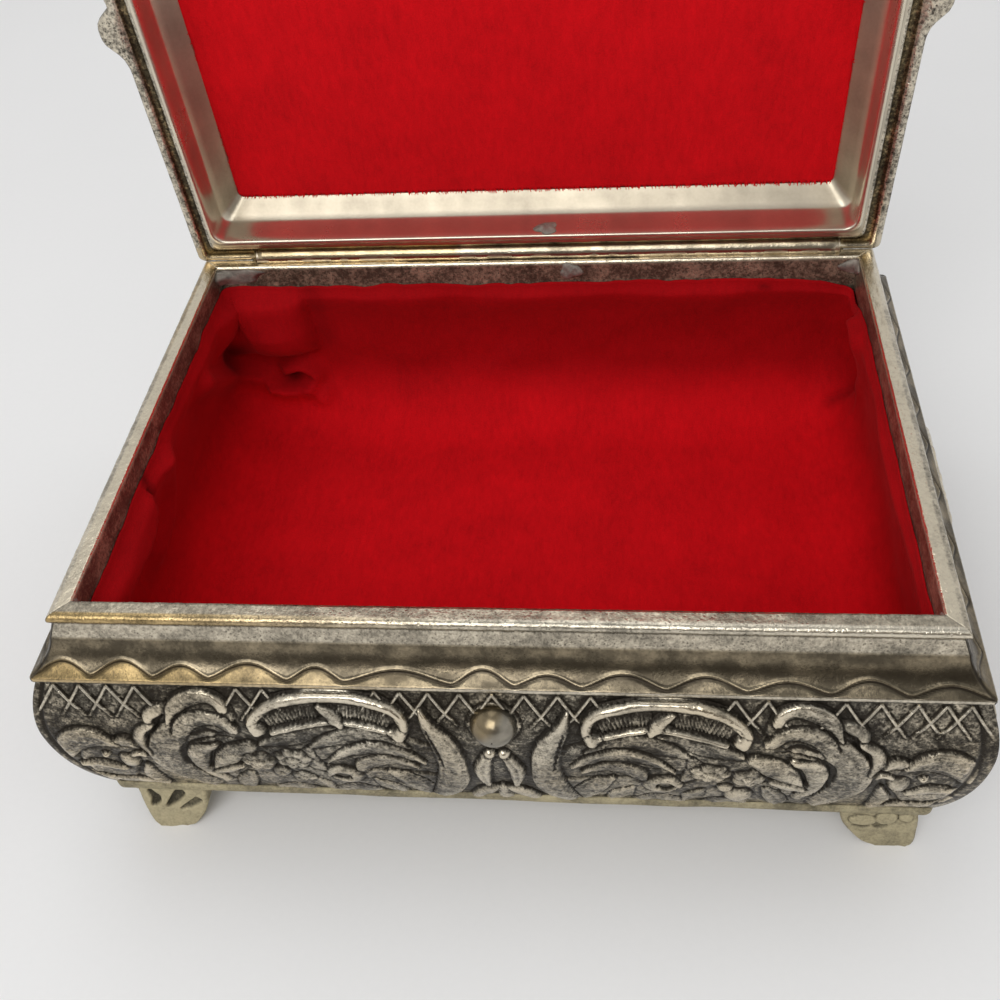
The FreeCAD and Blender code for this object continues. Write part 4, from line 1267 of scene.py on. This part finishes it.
class CASKET_OT_solder(bpy.types.Operator):
    """Runs solder into the corners and leaves dabs by the hinge"""

    bl_idname = "casket.solder"
    bl_label = "Solder"

    def execute(self, context):
        metal = finish("solder metal", solder_metal)
        points, quads, caps, start = [], [], [], 0
        lumps = (
            (-1, -1, (1.5, 1.5), 2.4, 3), (1, -1, (1.4, 1.6), 2.4, 5),
            (-1, 1, (9.5, 2.0), 3.0, 8), (1, 1, (2.6, 1.7), 2.8, 13),
        )
        for sx, sy, legs, height, seed in lumps:
            p, q, c = corner_lump(sx, sy, legs, height, seed)
            points.append(p)
            quads.append(q + start)
            caps += [cap + start for cap in c]
            start += len(p)
        points = np.vstack(points)
        points[:, 1] += MIDDLE_Y
        piece = build("corner_solder_runs", points, np.vstack(quads), caps)
        seat(piece, metal, "box", "solder", "corner_solder")

        low, high = span("hinge_solder")
        a, b, rise, quads, caps = dab_points(DAB_RADIUS, DAB_HEIGHT, 2)
        centre = (low + high) / 2
        points = np.stack([centre[0] + a, high[1] - rise, centre[2] + b], 1)
        piece = build("hinge_solder_dab", points, quads, caps)
        seat(piece, metal, "box", "solder", "hinge_solder")

        low, high = span("lid_solder")
        a, b, rise, quads, caps = dab_points(DAB_RADIUS, DAB_HEIGHT, 5)
        recess_back = HALF_D - 2.5
        closed = np.stack([(low[0] + high[0]) / 2 + a, recess_back - rise, FLANGE_UNDER + b], 1)
        piece = build("lid_solder_dab", swing_open(closed), quads, caps)
        seat(piece, metal, "lid", "solder", "lid_solder")
        return {"FINISHED"}


# Lid

def swing_open(points):
    """Turns points of the shut lid about the hinge to where it stands open."""
    c, s = math.cos(OPEN_ANGLE), math.sin(OPEN_ANGLE)
    y, z = points[:, 1] - HINGE_Y, points[:, 2] - HINGE_Z
    return np.stack([
        points[:, 0], HINGE_Y + y * c + z * s + MIDDLE_Y, HINGE_Z - y * s + z * c], 1)


# Rows round the lid's rim: reach from the opening, rise over the flange, corner radius,
# and how rubbed, warm and polished it is there
LID_ROWS = (
    (3.70, 0.50, 0.9, 0.30, 0.2, 0.0), (3.55, 0.15, 0.9, 0.64, 0.2, 0.0),
    (3.20, 0.00, 0.9, 0.70, 0.2, 0.0), (2.70, 0.02, 0.9, 0.66, 0.2, 0.0),
    (2.20, 0.00, 1.0, 0.70, 0.2, 0.0), (2.08, 0.34, 1.1, 0.24, 0.8, 0.2),
    (0.80, 0.36, 1.2, 0.26, 0.8, 0.2), (0.70, 0.02, 1.3, 0.66, 0.2, 0.3),
    (0.30, 0.00, 1.4, 0.74, 0.2, 0.4), (-0.34, 0.00, 1.6, 0.70, 0.2, 0.4),
    (-0.40, -0.30, 1.8, 0.40, 0.25, 0.6), (-0.42, -1.60, 2.0, 0.80, 0.2, 0.6),
    (-0.60, -1.80, 2.3, 0.92, 0.2, 0.7), (-1.10, -1.80, 2.1, 0.92, 0.2, 0.7),
    (-1.28, -1.60, 2.0, 0.94, 0.2, 0.9), (-1.30, -0.20, 2.0, 0.92, 0.2, 1.0),
    (-1.34, 1.60, 2.0, 0.92, 0.2, 1.0), (-1.40, 3.30, 1.9, 0.90, 0.2, 1.0),
    (-1.60, 3.72, 1.8, 0.86, 0.25, 1.0), (-2.40, 4.60, 1.6, 0.58, 0.30, 1.0),
    (-3.40, 5.62, 1.4, 0.56, 0.30, 1.0), (-4.32, 6.61, 1.1, 0.64, 0.30, 1.0),
    (-4.40, 6.70, 1.1, 0.64, 0.30, 1.0),
    (-4.60, 7.20, 1.0, 0.60, 0.2, 0.4), (-4.70, 8.45, 1.0, 0.2, 0.2, 0.0),
    (-6.20, 8.45, 1.0, 0.2, 0.2, 0.0), (-6.20, 9.70, 1.0, 0.3, 0.2, 0.0),
)
LID_COVE = ((-4.6, 10.0), (-2.2, 9.0), (-0.8, 6.6), 14), ((-0.8, 6.6), (0.1, 3.9), (2.4, 1.9), 26)
LID_OUTER = ((2.4, 1.9), (2.9, 1.9), (3.2, 1.9), (3.55, 1.75), (3.70, 1.40), (3.70, 0.95))
LID_BACK_CUT = 2.95
# Levels over the flange of the recess, the crown and the velvet's two faces
RECESS_ROOF, CROWN_TOP, VELVET_FACE, VELVET_BACK = 8.45, 10.0, 6.8, 7.58
# The velvet panel's edges, from the middle of the opening
PANEL_SIDE, PANEL_FRONT, PANEL_BACK = HALF_W - 4.42, HALF_D - 4.42, HALF_D - 5.62
# How the wall's drawing is drawn in and lengthened for half the crown, and where it then starts
CROWN_WIDE, CROWN_HIGH, CROWN_START = 0.818, 1.175, -44.06
# Ornament in the middle of the lid's sides: place along the side, and how far it stands out
EAR = (
    (-11.0, 0.0), (-9.2, 0.55), (-7.4, 0.3), (-5.9, 0.15), (-4.8, 1.5), (-3.4, 2.6), (-1.6, 2.75),
    (-0.4, 2.45), (0.7, 1.5), (1.9, 0.5), (3.8, 0.0),
)
EAR_MIDDLE = -2.6


def ear(along):
    """How far the lid's flange stands out at the ornament in the middle of a side."""
    outline = smooth_line(EAR)
    return np.maximum(np.interp(along, outline[:, 0], outline[:, 1]), 0)


class CASKET_OT_lid(bpy.types.Operator):
    """Casts the lid's frame with its recess, and its chased crown"""

    bl_idname = "casket.lid"
    bl_label = "Lid"

    def execute(self, context):
        sizes = context.scene.casket_sizes
        rows = list(LID_ROWS)
        for a, b, c, count in LID_COVE:
            for e, z in arc(a, b, c, count):
                rows.append((e, z, 1.0, 0.42, 0.3, 0.3))
        rows += [(e, z, 0.9, 0.60, 0.2, 0.0) for e, z in LID_OUTER]
        rings, marks = [], []
        for e, z, radius, wear, warm, polish in rows:
            back = min(e, LID_BACK_CUT)
            if e < 0.2 and z < 7.0:
                back = e - 1.2
            flat = ring_points(HALF_W + e, HALF_W + e, HALF_D + e, HALF_D + back, radius)
            x, y = flat[:, 0], flat[:, 1]
            share = ease(np.array(e), 2.3, 3.2) if z < 2.2 else 0.0
            x = x + np.where(np.abs(x) > HALF_W, np.sign(x) * ear(y), 0) * share
            y = y - np.where(y < -HALF_D, ear(x + EAR_MIDDLE), 0) * share
            lift = np.full(len(flat), float(z))
            rough = 0.05 * grain(x, y, 1.6, 71) if (e > -0.3 and z < 0.6) else 0.0
            if e > -0.9 and 2.0 < z < 6.6:
                around = np.where(np.abs(x) > HALF_W - 1, y, x)
                lift = lift + 0.22 * np.exp(-((z - 4.0 - 0.9 * np.sin(around * 0.68)) / 0.5) ** 2)
            rings.append(np.stack([x, y, FLANGE_UNDER + lift - rough], 1))
            patch = 0.08 * grain(x, y, 5.0, 72) + 0.06 * grain(x, y, 1.5, 73)
            by_hinge = ease(y, HALF_D - 0.5, HALF_D + 0.4) * (z < 1.0)
            smooth = np.maximum(polish, 0.85 * by_hinge)
            tint = warm + by_hinge * np.where(x < -12, 0.4, 0.1)
            marks.append(np.stack([wear + patch + 0.1 * by_hinge, tint, smooth], 1))
        count = len(rings[0])
        points = np.vstack(rings)
        wear, warm, polish = np.clip(np.vstack(marks), 0, 1).T
        quads = weave(len(rows), count, close_rows=True, close_columns=True)
        piece = build(
            "lid_frame", swing_open(points), quads, wear=wear, warm=warm, polish=polish)
        inner = np.array([row[5] for row in rows]) > 0.35
        bright_rows = inner & np.roll(inner, -1)
        bright_rows[len(LID_ROWS) - 4:] = False
        piece.data.materials.append(finish("antiqued metal", antiqued_metal))
        piece.data.materials.append(finish("polished metal", polished_metal))
        piece.data.polygons.foreach_set(
            "material_index", np.repeat(bright_rows.astype(np.int32), count))
        clear_barrel(piece, BARREL, LID_SEAT_RADIUS)
        seat(piece, None, "lid", "antiqued_white_metal", "lid_casting")
        self.crown(sizes)
        return {"FINISHED"}

    def crown(self, sizes):
        """The lid's top: the wall's ornament laid twice, foot to foot."""
        half_x, half_y = HALF_W - 4.4, HALF_D - 4.4
        columns, rows = 300, 196
        x = np.linspace(-half_x, half_x, columns)[None, :] + np.zeros((rows, 1))
        y = np.linspace(-half_y, half_y, rows)[:, None] + 0 * x
        relief = Relief(x, y, 0.8 * sizes.relief / MM)
        for flip_y in (-1, 1):
            stretch = (CROWN_WIDE, CROWN_HIGH * flip_y, CROWN_START * flip_y)
            for flip, flowers in ((1, RIGHT_FLOWERS), (-1, LEFT_FLOWERS)):
                for group in (MASSES, SPRIG, VOLUTE, BOUQUET, SHELL, UPRIGHT_LEAF):
                    draw(relief, group, 0.0, flip, stretch)
                for knobs in (flowers, SHELL_KNOBS, SPRIG_KNOBS):
                    set_knobs(relief, knobs, 0.0, flip, stretch)
        relief.knob(0, 0, 4.2, 1.4, petals=8)
        work = relief.height + 0.05 * grain(x, y, 1.3, 81)
        edge = np.minimum(half_x - np.abs(x), half_y - np.abs(y))
        swell = np.minimum(0.6 * (1 - (x / half_x) ** 2), 0.6 * (1 - (y / half_y) ** 2))
        top = CROWN_TOP + swell + np.maximum(work, -0.25) * ease(edge, 0.4, 2.0)
        lift = work - soften(work, 3, 3)
        wear = 0.50 + 0.7 * lift + 0.3 * (work - soften(work, 10, 10)) + 0.14 * grain(x, y, 5.0, 82)
        under = np.full_like(top, RECESS_ROOF)
        above = np.stack([x, y, FLANGE_UNDER + top], -1).reshape(-1, 3)
        below = np.stack([x, y, FLANGE_UNDER + under], -1).reshape(-1, 3)
        wear = np.clip(np.concatenate([wear.ravel(), np.full(rows * columns, 0.3)]), 0, 1)
        crevice = np.concatenate([relief.crevice.ravel(), np.zeros(rows * columns)])
        piece = build(
            "lid_crown", swing_open(np.vstack([above, below])), slab_faces(rows, columns)[:, ::-1],
            wear=wear, warm=0.2, polish=0.15, crevice=crevice)
        seat(piece, finish("antiqued metal", antiqued_metal), "lid", "antiqued_white_metal")


class CASKET_OT_hinge(bpy.types.Operator):
    """Finishes the hinge's knuckles and pin"""

    bl_idname = "casket.hinge"
    bl_label = "Hinge"

    def execute(self, context):
        metal = finish("hinge metal", hinge_metal)
        for node in ("left_knuckle", "middle_knuckle", "right_knuckle", "hinge_pin"):
            dress(node, metal)
        return {"FINISHED"}


def dress(node, material):
    """Gives a solid of the frame its finish."""
    solid = frame["nodes"][node]
    if not solid.material_slots:
        solid.data.materials.append(material)
    for slot in solid.material_slots:
        slot.material = material


class CASKET_OT_cards(bpy.types.Operator):
    """Finishes the cards under the velvet"""

    bl_idname = "casket.cards"
    bl_label = "Cards"

    def execute(self, context):
        for node in ("floor_card", "lid_card"):
            dress(node, finish("grey card", grey_card))
        return {"FINISHED"}


# Velvet

# Folds of the lining: lines of points from the middle of the opening
KNOT = ((-47.5, 40.9, 22.5), (-44.6, 40.9, 23.4), (-42.4, 40.8, 21.3), (-42.4, 40.4, 19.3),
        (-44.5, 39.4, 17.4), (-47.8, 39.1, 16.9), (-50.7, 39.4, 17.6))
KNOT_TAIL = ((-43.2, 39.1, 16.9), (-41.3, 37.9, 15.4), (-40.3, 39.3, 17.1))
KNOT_EYE, CORNER_GAP, SHADE_SPOT = (-47.3, 40.6, 20.0), (-57.3, 36.7, 28.0), (40.2, 37.0, 41.4)
LEFT_FLAP = ((-54.6, -11.1, 43.4), (-54.4, -11.8, 40.7), (-55.3, -13.1, 37.6), (-55.8, -14.6, 36.3),
             (-56.0, -17.7, 35.8), (-55.9, -21.8, 36.0), (-55.8, -25.4, 36.2), (-56.0, -35.5, 35.8))
LEFT_SWELL = ((-54.6, -5.0, 41.0), (-56.0, -3.0, 36.0), (-57.4, -2.5, 31.0), (-58.0, -5.0, 27.5),
              (-58.1, -10.0, 25.5))
RIGHT_CREASE = ((55.4, 27.0, 37.0), (57.6, 31.0, 30.0), (58.4, 34.6, 23.4), (57.2, 35.9, 18.7),
                (54.0, 36.4, 16.0))
CORNER_RIDGE = ((-55.5, 18.0, 36.0), (-58.0, 29.0, 28.0), (-57.0, 37.0, 22.5), (-52.0, 40.3, 19.6))
LINING_FLOOR, LINING_TOP = 11.2, 43.0
FLOOR_BEND, LINING_CORNER, EDGE_CORNER = 11.0, 7.0, 1.2
EDGE_GAP, FACE_GAP, FLOOR_CORNER = 0.28, 1.2, 2.0
POUCH_X, POUCH_HALF, POUCH_TOP, POUCH_LOW = -48.8, 8.3, 43.8, 31.4


def lining_face(z):
    """How far the velvet's face lies outside the opening at a level."""
    inner = arc((2.0, 37.5), (4.6, 22.5), (0.0, 6.0), 60)
    inner = np.vstack([inner, (0.0, 6.0), (0.0, 0.0)])[::-1]
    gap = EDGE_GAP + (FACE_GAP - EDGE_GAP) * ease(LINING_TOP - np.asarray(z), 0.5, 5.0)
    return np.interp(RIM - np.asarray(z), inner[:, 1], inner[:, 0]) - gap


def closer(share):
    """Places from -1 to 1 set closer together towards -1."""
    return share + 0.25 * (share * share - 1)


class CASKET_OT_lining(bpy.types.Operator):
    """Lays the velvet bag in the box, gathered in its back left corner"""

    bl_idname = "casket.lining"
    bl_label = "Velvet lining"

    def execute(self, context):
        sizes = context.scene.casket_sizes
        wide, deep, bend_rows, wall_rows = 150, 100, 22, 44
        levels = [(FLOOR_BEND * (1 - math.sin(a)), LINING_FLOOR + FLOOR_BEND * (1 - math.cos(a)), a)
                  for a in np.linspace(0, math.pi / 2, bend_rows)]
        levels += [(0.0, z, math.pi / 2)
                   for z in np.linspace(LINING_FLOOR + FLOOR_BEND, LINING_TOP, wall_rows)[1:]]

        # Floor, squeezed towards its rounded corners
        half_x = HALF_W + float(lining_face(LINING_FLOOR)) - FLOOR_BEND
        half_y = HALF_D + float(lining_face(LINING_FLOOR)) - FLOOR_BEND
        across = closer(np.linspace(-1, 1, wide + 1))
        down = -closer(np.linspace(1, -1, deep + 1))
        flat = np.stack(np.meshgrid(half_x * across, half_y * down), -1)
        share = np.maximum(np.abs(flat[..., 0]) / half_x, np.abs(flat[..., 1]) / half_y)
        flat = rounded_corner(flat, half_x * share, half_y * share, FLOOR_CORNER * share)
        floor = np.concatenate([flat, np.full(flat.shape[:2] + (1,), LINING_FLOOR)], -1).reshape(-1, 3)
        grid = np.arange(len(floor)).reshape(deep + 1, wide + 1)
        rim = np.concatenate([grid[0, :-1], grid[:-1, -1], grid[-1, :0:-1], grid[:0:-1, 0]])

        # Walls, row by row from the edge of the floor
        unit = np.concatenate([
            np.stack([across[:-1], np.full(wide, -1)], 1), np.stack([np.full(deep, 1), down[:-1]], 1),
            np.stack([across[:0:-1], np.full(wide, 1)], 1), np.stack([np.full(deep, -1), down[:0:-1]], 1)])
        rings, facing = [], []
        for inset, z, tilt in levels:
            out = float(lining_face(z)) - inset
            hx, hy = HALF_W + out, HALF_D + out
            ring = unit * (hx, hy)
            radius = EDGE_CORNER + (LINING_CORNER - EDGE_CORNER) * ease(LINING_TOP - z, 2.0, 14.0)
            radius += (FLOOR_CORNER - LINING_CORNER) * inset / FLOOR_BEND
            ones = np.ones(len(ring))
            ring = rounded_corner(ring, hx * ones, hy * ones, radius * ones)
            pull = np.clip(np.abs(ring) - (hx - radius, hy - radius), 0, None) * np.sign(ring)
            pull /= np.maximum(np.linalg.norm(pull, axis=1), 1e-6)[:, None]
            rings.append(np.c_[ring, np.full(len(ring), z)])
            facing.append(np.c_[-pull * math.sin(tilt), np.full(len(ring), math.cos(tilt))])
        points = np.vstack([floor] + rings[1:])
        normal = np.vstack([np.tile((0.0, 0.0, 1.0), (len(floor), 1))] + facing[1:])
        count = len(rim)
        rows = np.vstack([rim, np.arange(len(floor), len(points)).reshape(-1, count)])
        walls = faces(np.hstack([rows, rows[:, :1]]))
        quads = np.vstack([weave(deep + 1, wide + 1)[:, ::-1], walls])
        moved, hollow = self.drape(points, normal, sizes.fold / MM)
        moved[:, 1] += MIDDLE_Y
        piece = build("velvet_bag", moved, quads, hollow=hollow)
        thin = piece.vertex_groups.new(name="thin_edge")
        thin.add(list(range(len(points))), 1.0, "REPLACE")
        for row, (_, z, _) in zip(rows[1:], levels[1:]):
            thin.add(row.tolist(), float(0.25 + 0.75 * ease(LINING_TOP - z, 0.5, 5.0)), "REPLACE")
        cloth = piece.modifiers.new("pile", "SOLIDIFY")
        cloth.thickness, cloth.offset, cloth.vertex_group = sizes.pile, -1.0, thin.name
        settle(piece)
        seat(piece, finish("red velvet", red_velvet), "box", "red_velvet", "velvet_lining")
        return {"FINISHED"}

    def drape(self, points, normal, fold):
        """Moves the smooth bag into its folds, and marks the painted shade of its folds, creases and walls.
        """
        x, y, z = points.T
        off = np.zeros(len(points))
        hollow = np.zeros(len(points))

        def ridge(line, width, height):
            gap = from_line(points, smooth_line(line))
            return height * np.exp(-((gap / width) ** 2))

        def near(place, width):
            return np.exp(-(((points - np.array(place)) ** 2).sum(1) / width**2))

        # Pouch in the back left corner, painted shade in the gap beside it, and the curled knot below it
        # with painted shade in its eye
        back = ease(y, 27, 34)
        sag = np.minimum(np.clip((POUCH_TOP - z) / 11, 0, 1) ** 0.8,
                         np.sqrt(np.clip(1 - (np.clip(POUCH_LOW - z, 0, None) / 5.0) ** 2, 0, 1)))
        pouch = np.sqrt(np.clip(1 - ((x - POUCH_X) / POUCH_HALF) ** 2, 0, 1)) * sag
        off += back * fold * pouch
        beside = back * np.exp(-(((x + 38.8) / 2.2) ** 2)) * ease(z, 24, 30)
        hollow += 0.35 * beside + 0.95 * near(CORNER_GAP, 3.2)
        off -= 1.2 * near(CORNER_GAP, 3.0)
        off += ridge(KNOT, 1.5, 0.6 * fold) + ridge(KNOT_TAIL, 1.3, 0.3 * fold)
        off -= 1.0 * near(KNOT_EYE, 1.5)
        # Painted shade in the knot's eye, and a spot of painted shade high in the right back corner
        hollow += 0.9 * near(KNOT_EYE, 1.7) + 0.9 * near(SHADE_SPOT, 0.7)
        off += ridge(CORNER_RIDGE, 2.4, fold * 0.45)
        # Flap of the left wall by the front, with painted shade along its edge
        left = ease(x, -48, -54)
        flap = smooth_line(LEFT_FLAP)
        gap = from_line(points, flap)
        above = z > np.interp(y, flap[::-1, 1], flap[::-1, 2], right=99.0)
        lean = 0.3 + 0.58 * fold * ease(z, 43.5, 31.5)
        off += left * np.where(above, lean * ease(gap, 0.0, 0.9), -0.9 * ease(gap, 1.6, 0.0))
        hollow += left * np.where(above, 0.6 * np.exp(-((gap / 0.5) ** 2)), np.exp(-((gap / 1.3) ** 2)))
        off += left * ridge(LEFT_SWELL, 2.6, fold * 0.3)
        # Crease of the right wall, with painted shade in it
        gap = from_line(points, smooth_line(RIGHT_CREASE))
        off -= 1.0 * np.exp(-((gap / 1.3) ** 2))
        hollow += 0.5 * np.exp(-((gap / 1.0) ** 2))
        off += 1.6 * np.exp(-(((gap - 3.2) / 2.2) ** 2)) * ease(x, 46, 53) * (y < 30)
        # Loose cloth everywhere, and painted shade darkening the walls
        a, b = x + y * 0.6, z + y * 0.4
        wall = ease(z, LINING_FLOOR + 1, LINING_FLOOR + 9)
        hollow = 1 - (1 - np.clip(hollow, 0, 1)) * (1 - 0.5 * ease(z, LINING_FLOOR, LINING_FLOOR + 12))
        off += wall * (0.35 + 0.45 * grain(a, b, 9.0, 61) + 0.2 * grain(a, b, 4.0, 62))
        off += (1 - wall) * (0.35 * grain(x, y, 17.0, 63) + 0.12 * grain(x, y, 6.0, 64) + 0.3)
        off *= ease(LINING_TOP - z, 0.0, 3.4)
        # Cut edge
        top = ease(z, LINING_TOP - 5, LINING_TOP)
        cut = 0.35 * grain(x, y, 5.0, 65) + 0.2 * grain(x, y, 1.7, 66) - 0.6
        cut -= 2.4 * np.exp(-(((x - 54) / 6) ** 2 + ((y - 34) / 5) ** 2))
        moved = points + normal * off[:, None]
        moved[:, 2] += top * cut
        return moved, np.clip(hollow, 0, 0.92)


class CASKET_OT_lid_velvet(bpy.types.Operator):
    """Lays the velvet panel in the lid"""

    bl_idname = "casket.lid_velvet"
    bl_label = "Lid velvet"

    def execute(self, context):
        half_x, front, back = PANEL_SIDE, PANEL_FRONT, PANEL_BACK
        columns, rows = 190, 124
        x = np.linspace(-half_x, half_x, columns)[None, :] + np.zeros((rows, 1))
        y = np.linspace(-front, back, rows)[:, None] + 0 * x
        edge = np.minimum(half_x - np.abs(x), np.minimum(y + front, back - y))
        ragged = 0.35 * grain(x, y, 4.0, 91) + 0.18 * grain(x, y, 1.2, 92)
        x = x + np.sign(x) * ragged * ease(np.abs(x), half_x - 3, half_x)
        face = VELVET_FACE - 0.16 * ease(edge, 0.5, 3.0)
        face = face + (0.14 * grain(x, y, 14.0, 93) + 0.06 * grain(x, y, 5.0, 94)) * ease(edge, 0, 3)
        over = np.stack([x, y, FLANGE_UNDER + face], -1).reshape(-1, 3)
        under = np.stack([x, y, FLANGE_UNDER + VELVET_BACK + 0 * x], -1).reshape(-1, 3)
        piece = build(
            "lid_velvet_panel", swing_open(np.vstack([over, under])), slab_faces(rows, columns), hollow=0.0)
        seat(piece, finish("red velvet", red_velvet), "lid", "red_velvet", "lid_velvet")
        2 * half_x * MM
        (front + back) * MM
        return {"FINISHED"}


class CASKET_OT_fray(bpy.types.Operator):
    """Pulls loose fibres from the cut edges of the velvet"""

    bl_idname = "casket.fray"
    bl_label = "Frayed edges"

    def execute(self, context):
        length = context.scene.casket_sizes.fray / MM
        velvet = finish("red velvet", red_velvet)
        rng = np.random.default_rng(101)
        half_x, front, back = PANEL_SIDE, PANEL_FRONT, PANEL_BACK
        lines = []
        for _ in range(420):
            side = 1 if rng.random() < 0.7 else -1
            y = rng.uniform(-front, back)
            reach = length * rng.uniform(0.2, 1.0)
            sway = rng.uniform(-0.5, 0.5)
            root = np.array([side * (half_x - 0.3), y, FLANGE_UNDER + 6.95])
            tip = root + (side * (reach + 0.3), sway, rng.uniform(-0.35, 0.1))
            middle = (root + tip) / 2 + (0, 0, rng.uniform(-0.25, 0.1))
            lines.append(np.array([root, middle, tip]))
        for x in rng.uniform(-half_x, half_x, 700):
            reach = 0.35 * length * rng.uniform(0.2, 1.0) ** 2
            root = np.array([x, back - 0.3, FLANGE_UNDER + 6.85])
            tip = root + (rng.uniform(-0.4, 0.4), reach + 0.3, -1.06 * reach - 0.12)
            middle = (root + tip) / 2 - (0, 0, rng.uniform(0.02, 0.12))
            lines.append(np.array([root, middle, tip]))
        lines = [swing_open(line) for line in lines]
        piece = rods("lid_velvet_fray", lines, 0.06, 4, velvet)
        seat(piece, None, "lid", "red_velvet")
        return {"FINISHED"}


# Stage

CAMERA_AT = (16.832, -124.858, 157.016)
CAMERA_PITCH, CAMERA_YAW, CAMERA_ROLL = 0.79970, -0.15908, -0.10941
CAMERA_LENS, CAMERA_SENSOR = 40.68, 36.0
TABLE_HALF = 1500.0


class CASKET_OT_stage(bpy.types.Operator):
    """Sets the table, the soft lights, the room and the camera"""

    bl_idname = "casket.stage"
    bl_label = "Stage"

    def execute(self, context):
        scene = context.scene
        scene.view_settings.view_transform = "Standard"
        steps = np.linspace(-TABLE_HALF, TABLE_HALF, 9)
        flat = np.stack(np.meshgrid(steps, steps), -1).reshape(-1, 2)
        points = np.c_[flat, np.zeros(len(flat))]
        floor = build("table", points, weave(9, 9)[:, ::-1])
        floor.data.materials.append(finish("table top", table_top))
        self.camera(scene)
        self.room(scene)
        lamps = (
            ("overhead", (-0.10, 0.20, 0.75), (0.0, 0.02, 0.03), 0.50, 0.9),
            ("front_window", (-0.15, -0.60, 0.62), (0.0, 0.0, 0.06), 0.55, 3.0),
        )
        for name, at, to, width, power in lamps:
            light = bpy.data.lights.new(name, "AREA")
            light.shape, light.size, light.energy = "SQUARE", width, power
            lamp = bpy.data.objects.new(name, light)
            lamp.location = at
            lamp.rotation_euler = (Vector(to) - Vector(at)).to_track_quat("-Z", "Y").to_euler()
            scene.collection.objects.link(lamp)
        return {"FINISHED"}

    def camera(self, scene):
        pitch, yaw, roll = CAMERA_PITCH, CAMERA_YAW, CAMERA_ROLL
        forward = Vector((
            math.sin(yaw) * math.cos(pitch), math.cos(yaw) * math.cos(pitch), -math.sin(pitch)))
        right = Vector((math.cos(yaw), -math.sin(yaw), 0))
        up = right.cross(forward)
        across = math.cos(roll) * right + math.sin(roll) * up
        above = -math.sin(roll) * right + math.cos(roll) * up
        data = bpy.data.cameras.new("camera")
        data.lens, data.sensor_width, data.sensor_fit = CAMERA_LENS, CAMERA_SENSOR, "HORIZONTAL"
        data.clip_start = 0.01
        camera = bpy.data.objects.new("camera", data)
        turn = Matrix((across, above, -forward)).transposed().to_4x4()
        place = Vector(CAMERA_AT) + Vector((0, MIDDLE_Y, 0))
        camera.matrix_world = Matrix.Translation(place * MM) @ turn
        scene.collection.objects.link(camera)
        scene.camera = camera

    def room(self, scene):
        """A pale room, dark towards the front."""
        world = bpy.data.worlds.new("room")
        scene.world = world
        air = Finish(world)
        toward = air.node("ShaderNodeTexCoord", out="Generated")
        height = air.node("ShaderNodeSeparateXYZ", {}, {0: toward}, "Z")
        facing = air.node(
            "ShaderNodeVectorMath", {"operation": "DOT_PRODUCT"}, {0: toward, 1: (0.10, -0.97, 0.20)},
            "Value")
        walls = air.ramp(
            height * 0.5 + 0.5, (0.50, (0.74, 0.73, 0.72)), (0.72, (0.67, 0.67, 0.68)),
            (0.86, (0.70, 0.71, 0.72)), (1.0, (0.36, 0.37, 0.38)))
        dark = air.ramp(facing, (0.78, (1.0, 1.0, 1.0)), (0.93, (0.22, 0.20, 0.18)))
        colour = air.blend(1.0, walls, dark, "MULTIPLY")
        sky = air.node("ShaderNodeBackground", {}, {"Color": colour, "Strength": 1.0})
        air.node("ShaderNodeOutputWorld", {}, {"Surface": sky})


class CASKET_PT_panel(bpy.types.Panel):
    """Lists the casket's pieces"""

    bl_idname = "CASKET_PT_panel"
    bl_label = "Casket"
    bl_space_type = "VIEW_3D"
    bl_region_type = "UI"
    bl_category = "Casket"

    def draw(self, context):
        for group in (context.scene.casket_sizes, context.scene.casket_colours):
            box = self.layout.box()
            for key in group.__annotations__:
                box.prop(group, key)
        for operator in OPERATORS:
            self.layout.operator(operator.bl_idname)


OPERATORS = (
    CASKET_OT_stage, CASKET_OT_walls, CASKET_OT_boss, CASKET_OT_lattice, CASKET_OT_base,
    CASKET_OT_solder, CASKET_OT_hinge, CASKET_OT_cards, CASKET_OT_lining, CASKET_OT_lid,
    CASKET_OT_lid_velvet, CASKET_OT_fray,
)
CLASSES = (CasketSizes, CasketColours, *OPERATORS, CASKET_PT_panel)


def register():
    for cls in CLASSES:
        bpy.utils.register_class(cls)
    bpy.types.Scene.casket_sizes = PointerProperty(type=CasketSizes)
    bpy.types.Scene.casket_colours = PointerProperty(type=CasketColours)


def unregister():
    del bpy.types.Scene.casket_colours
    del bpy.types.Scene.casket_sizes
    for cls in reversed(CLASSES):
        bpy.utils.unregister_class(cls)


def main():
    register()
    for operator in OPERATORS:
        group, name = operator.bl_idname.split(".")
        getattr(getattr(bpy.ops, group), name)()


if __name__ == "__main__":
    main()
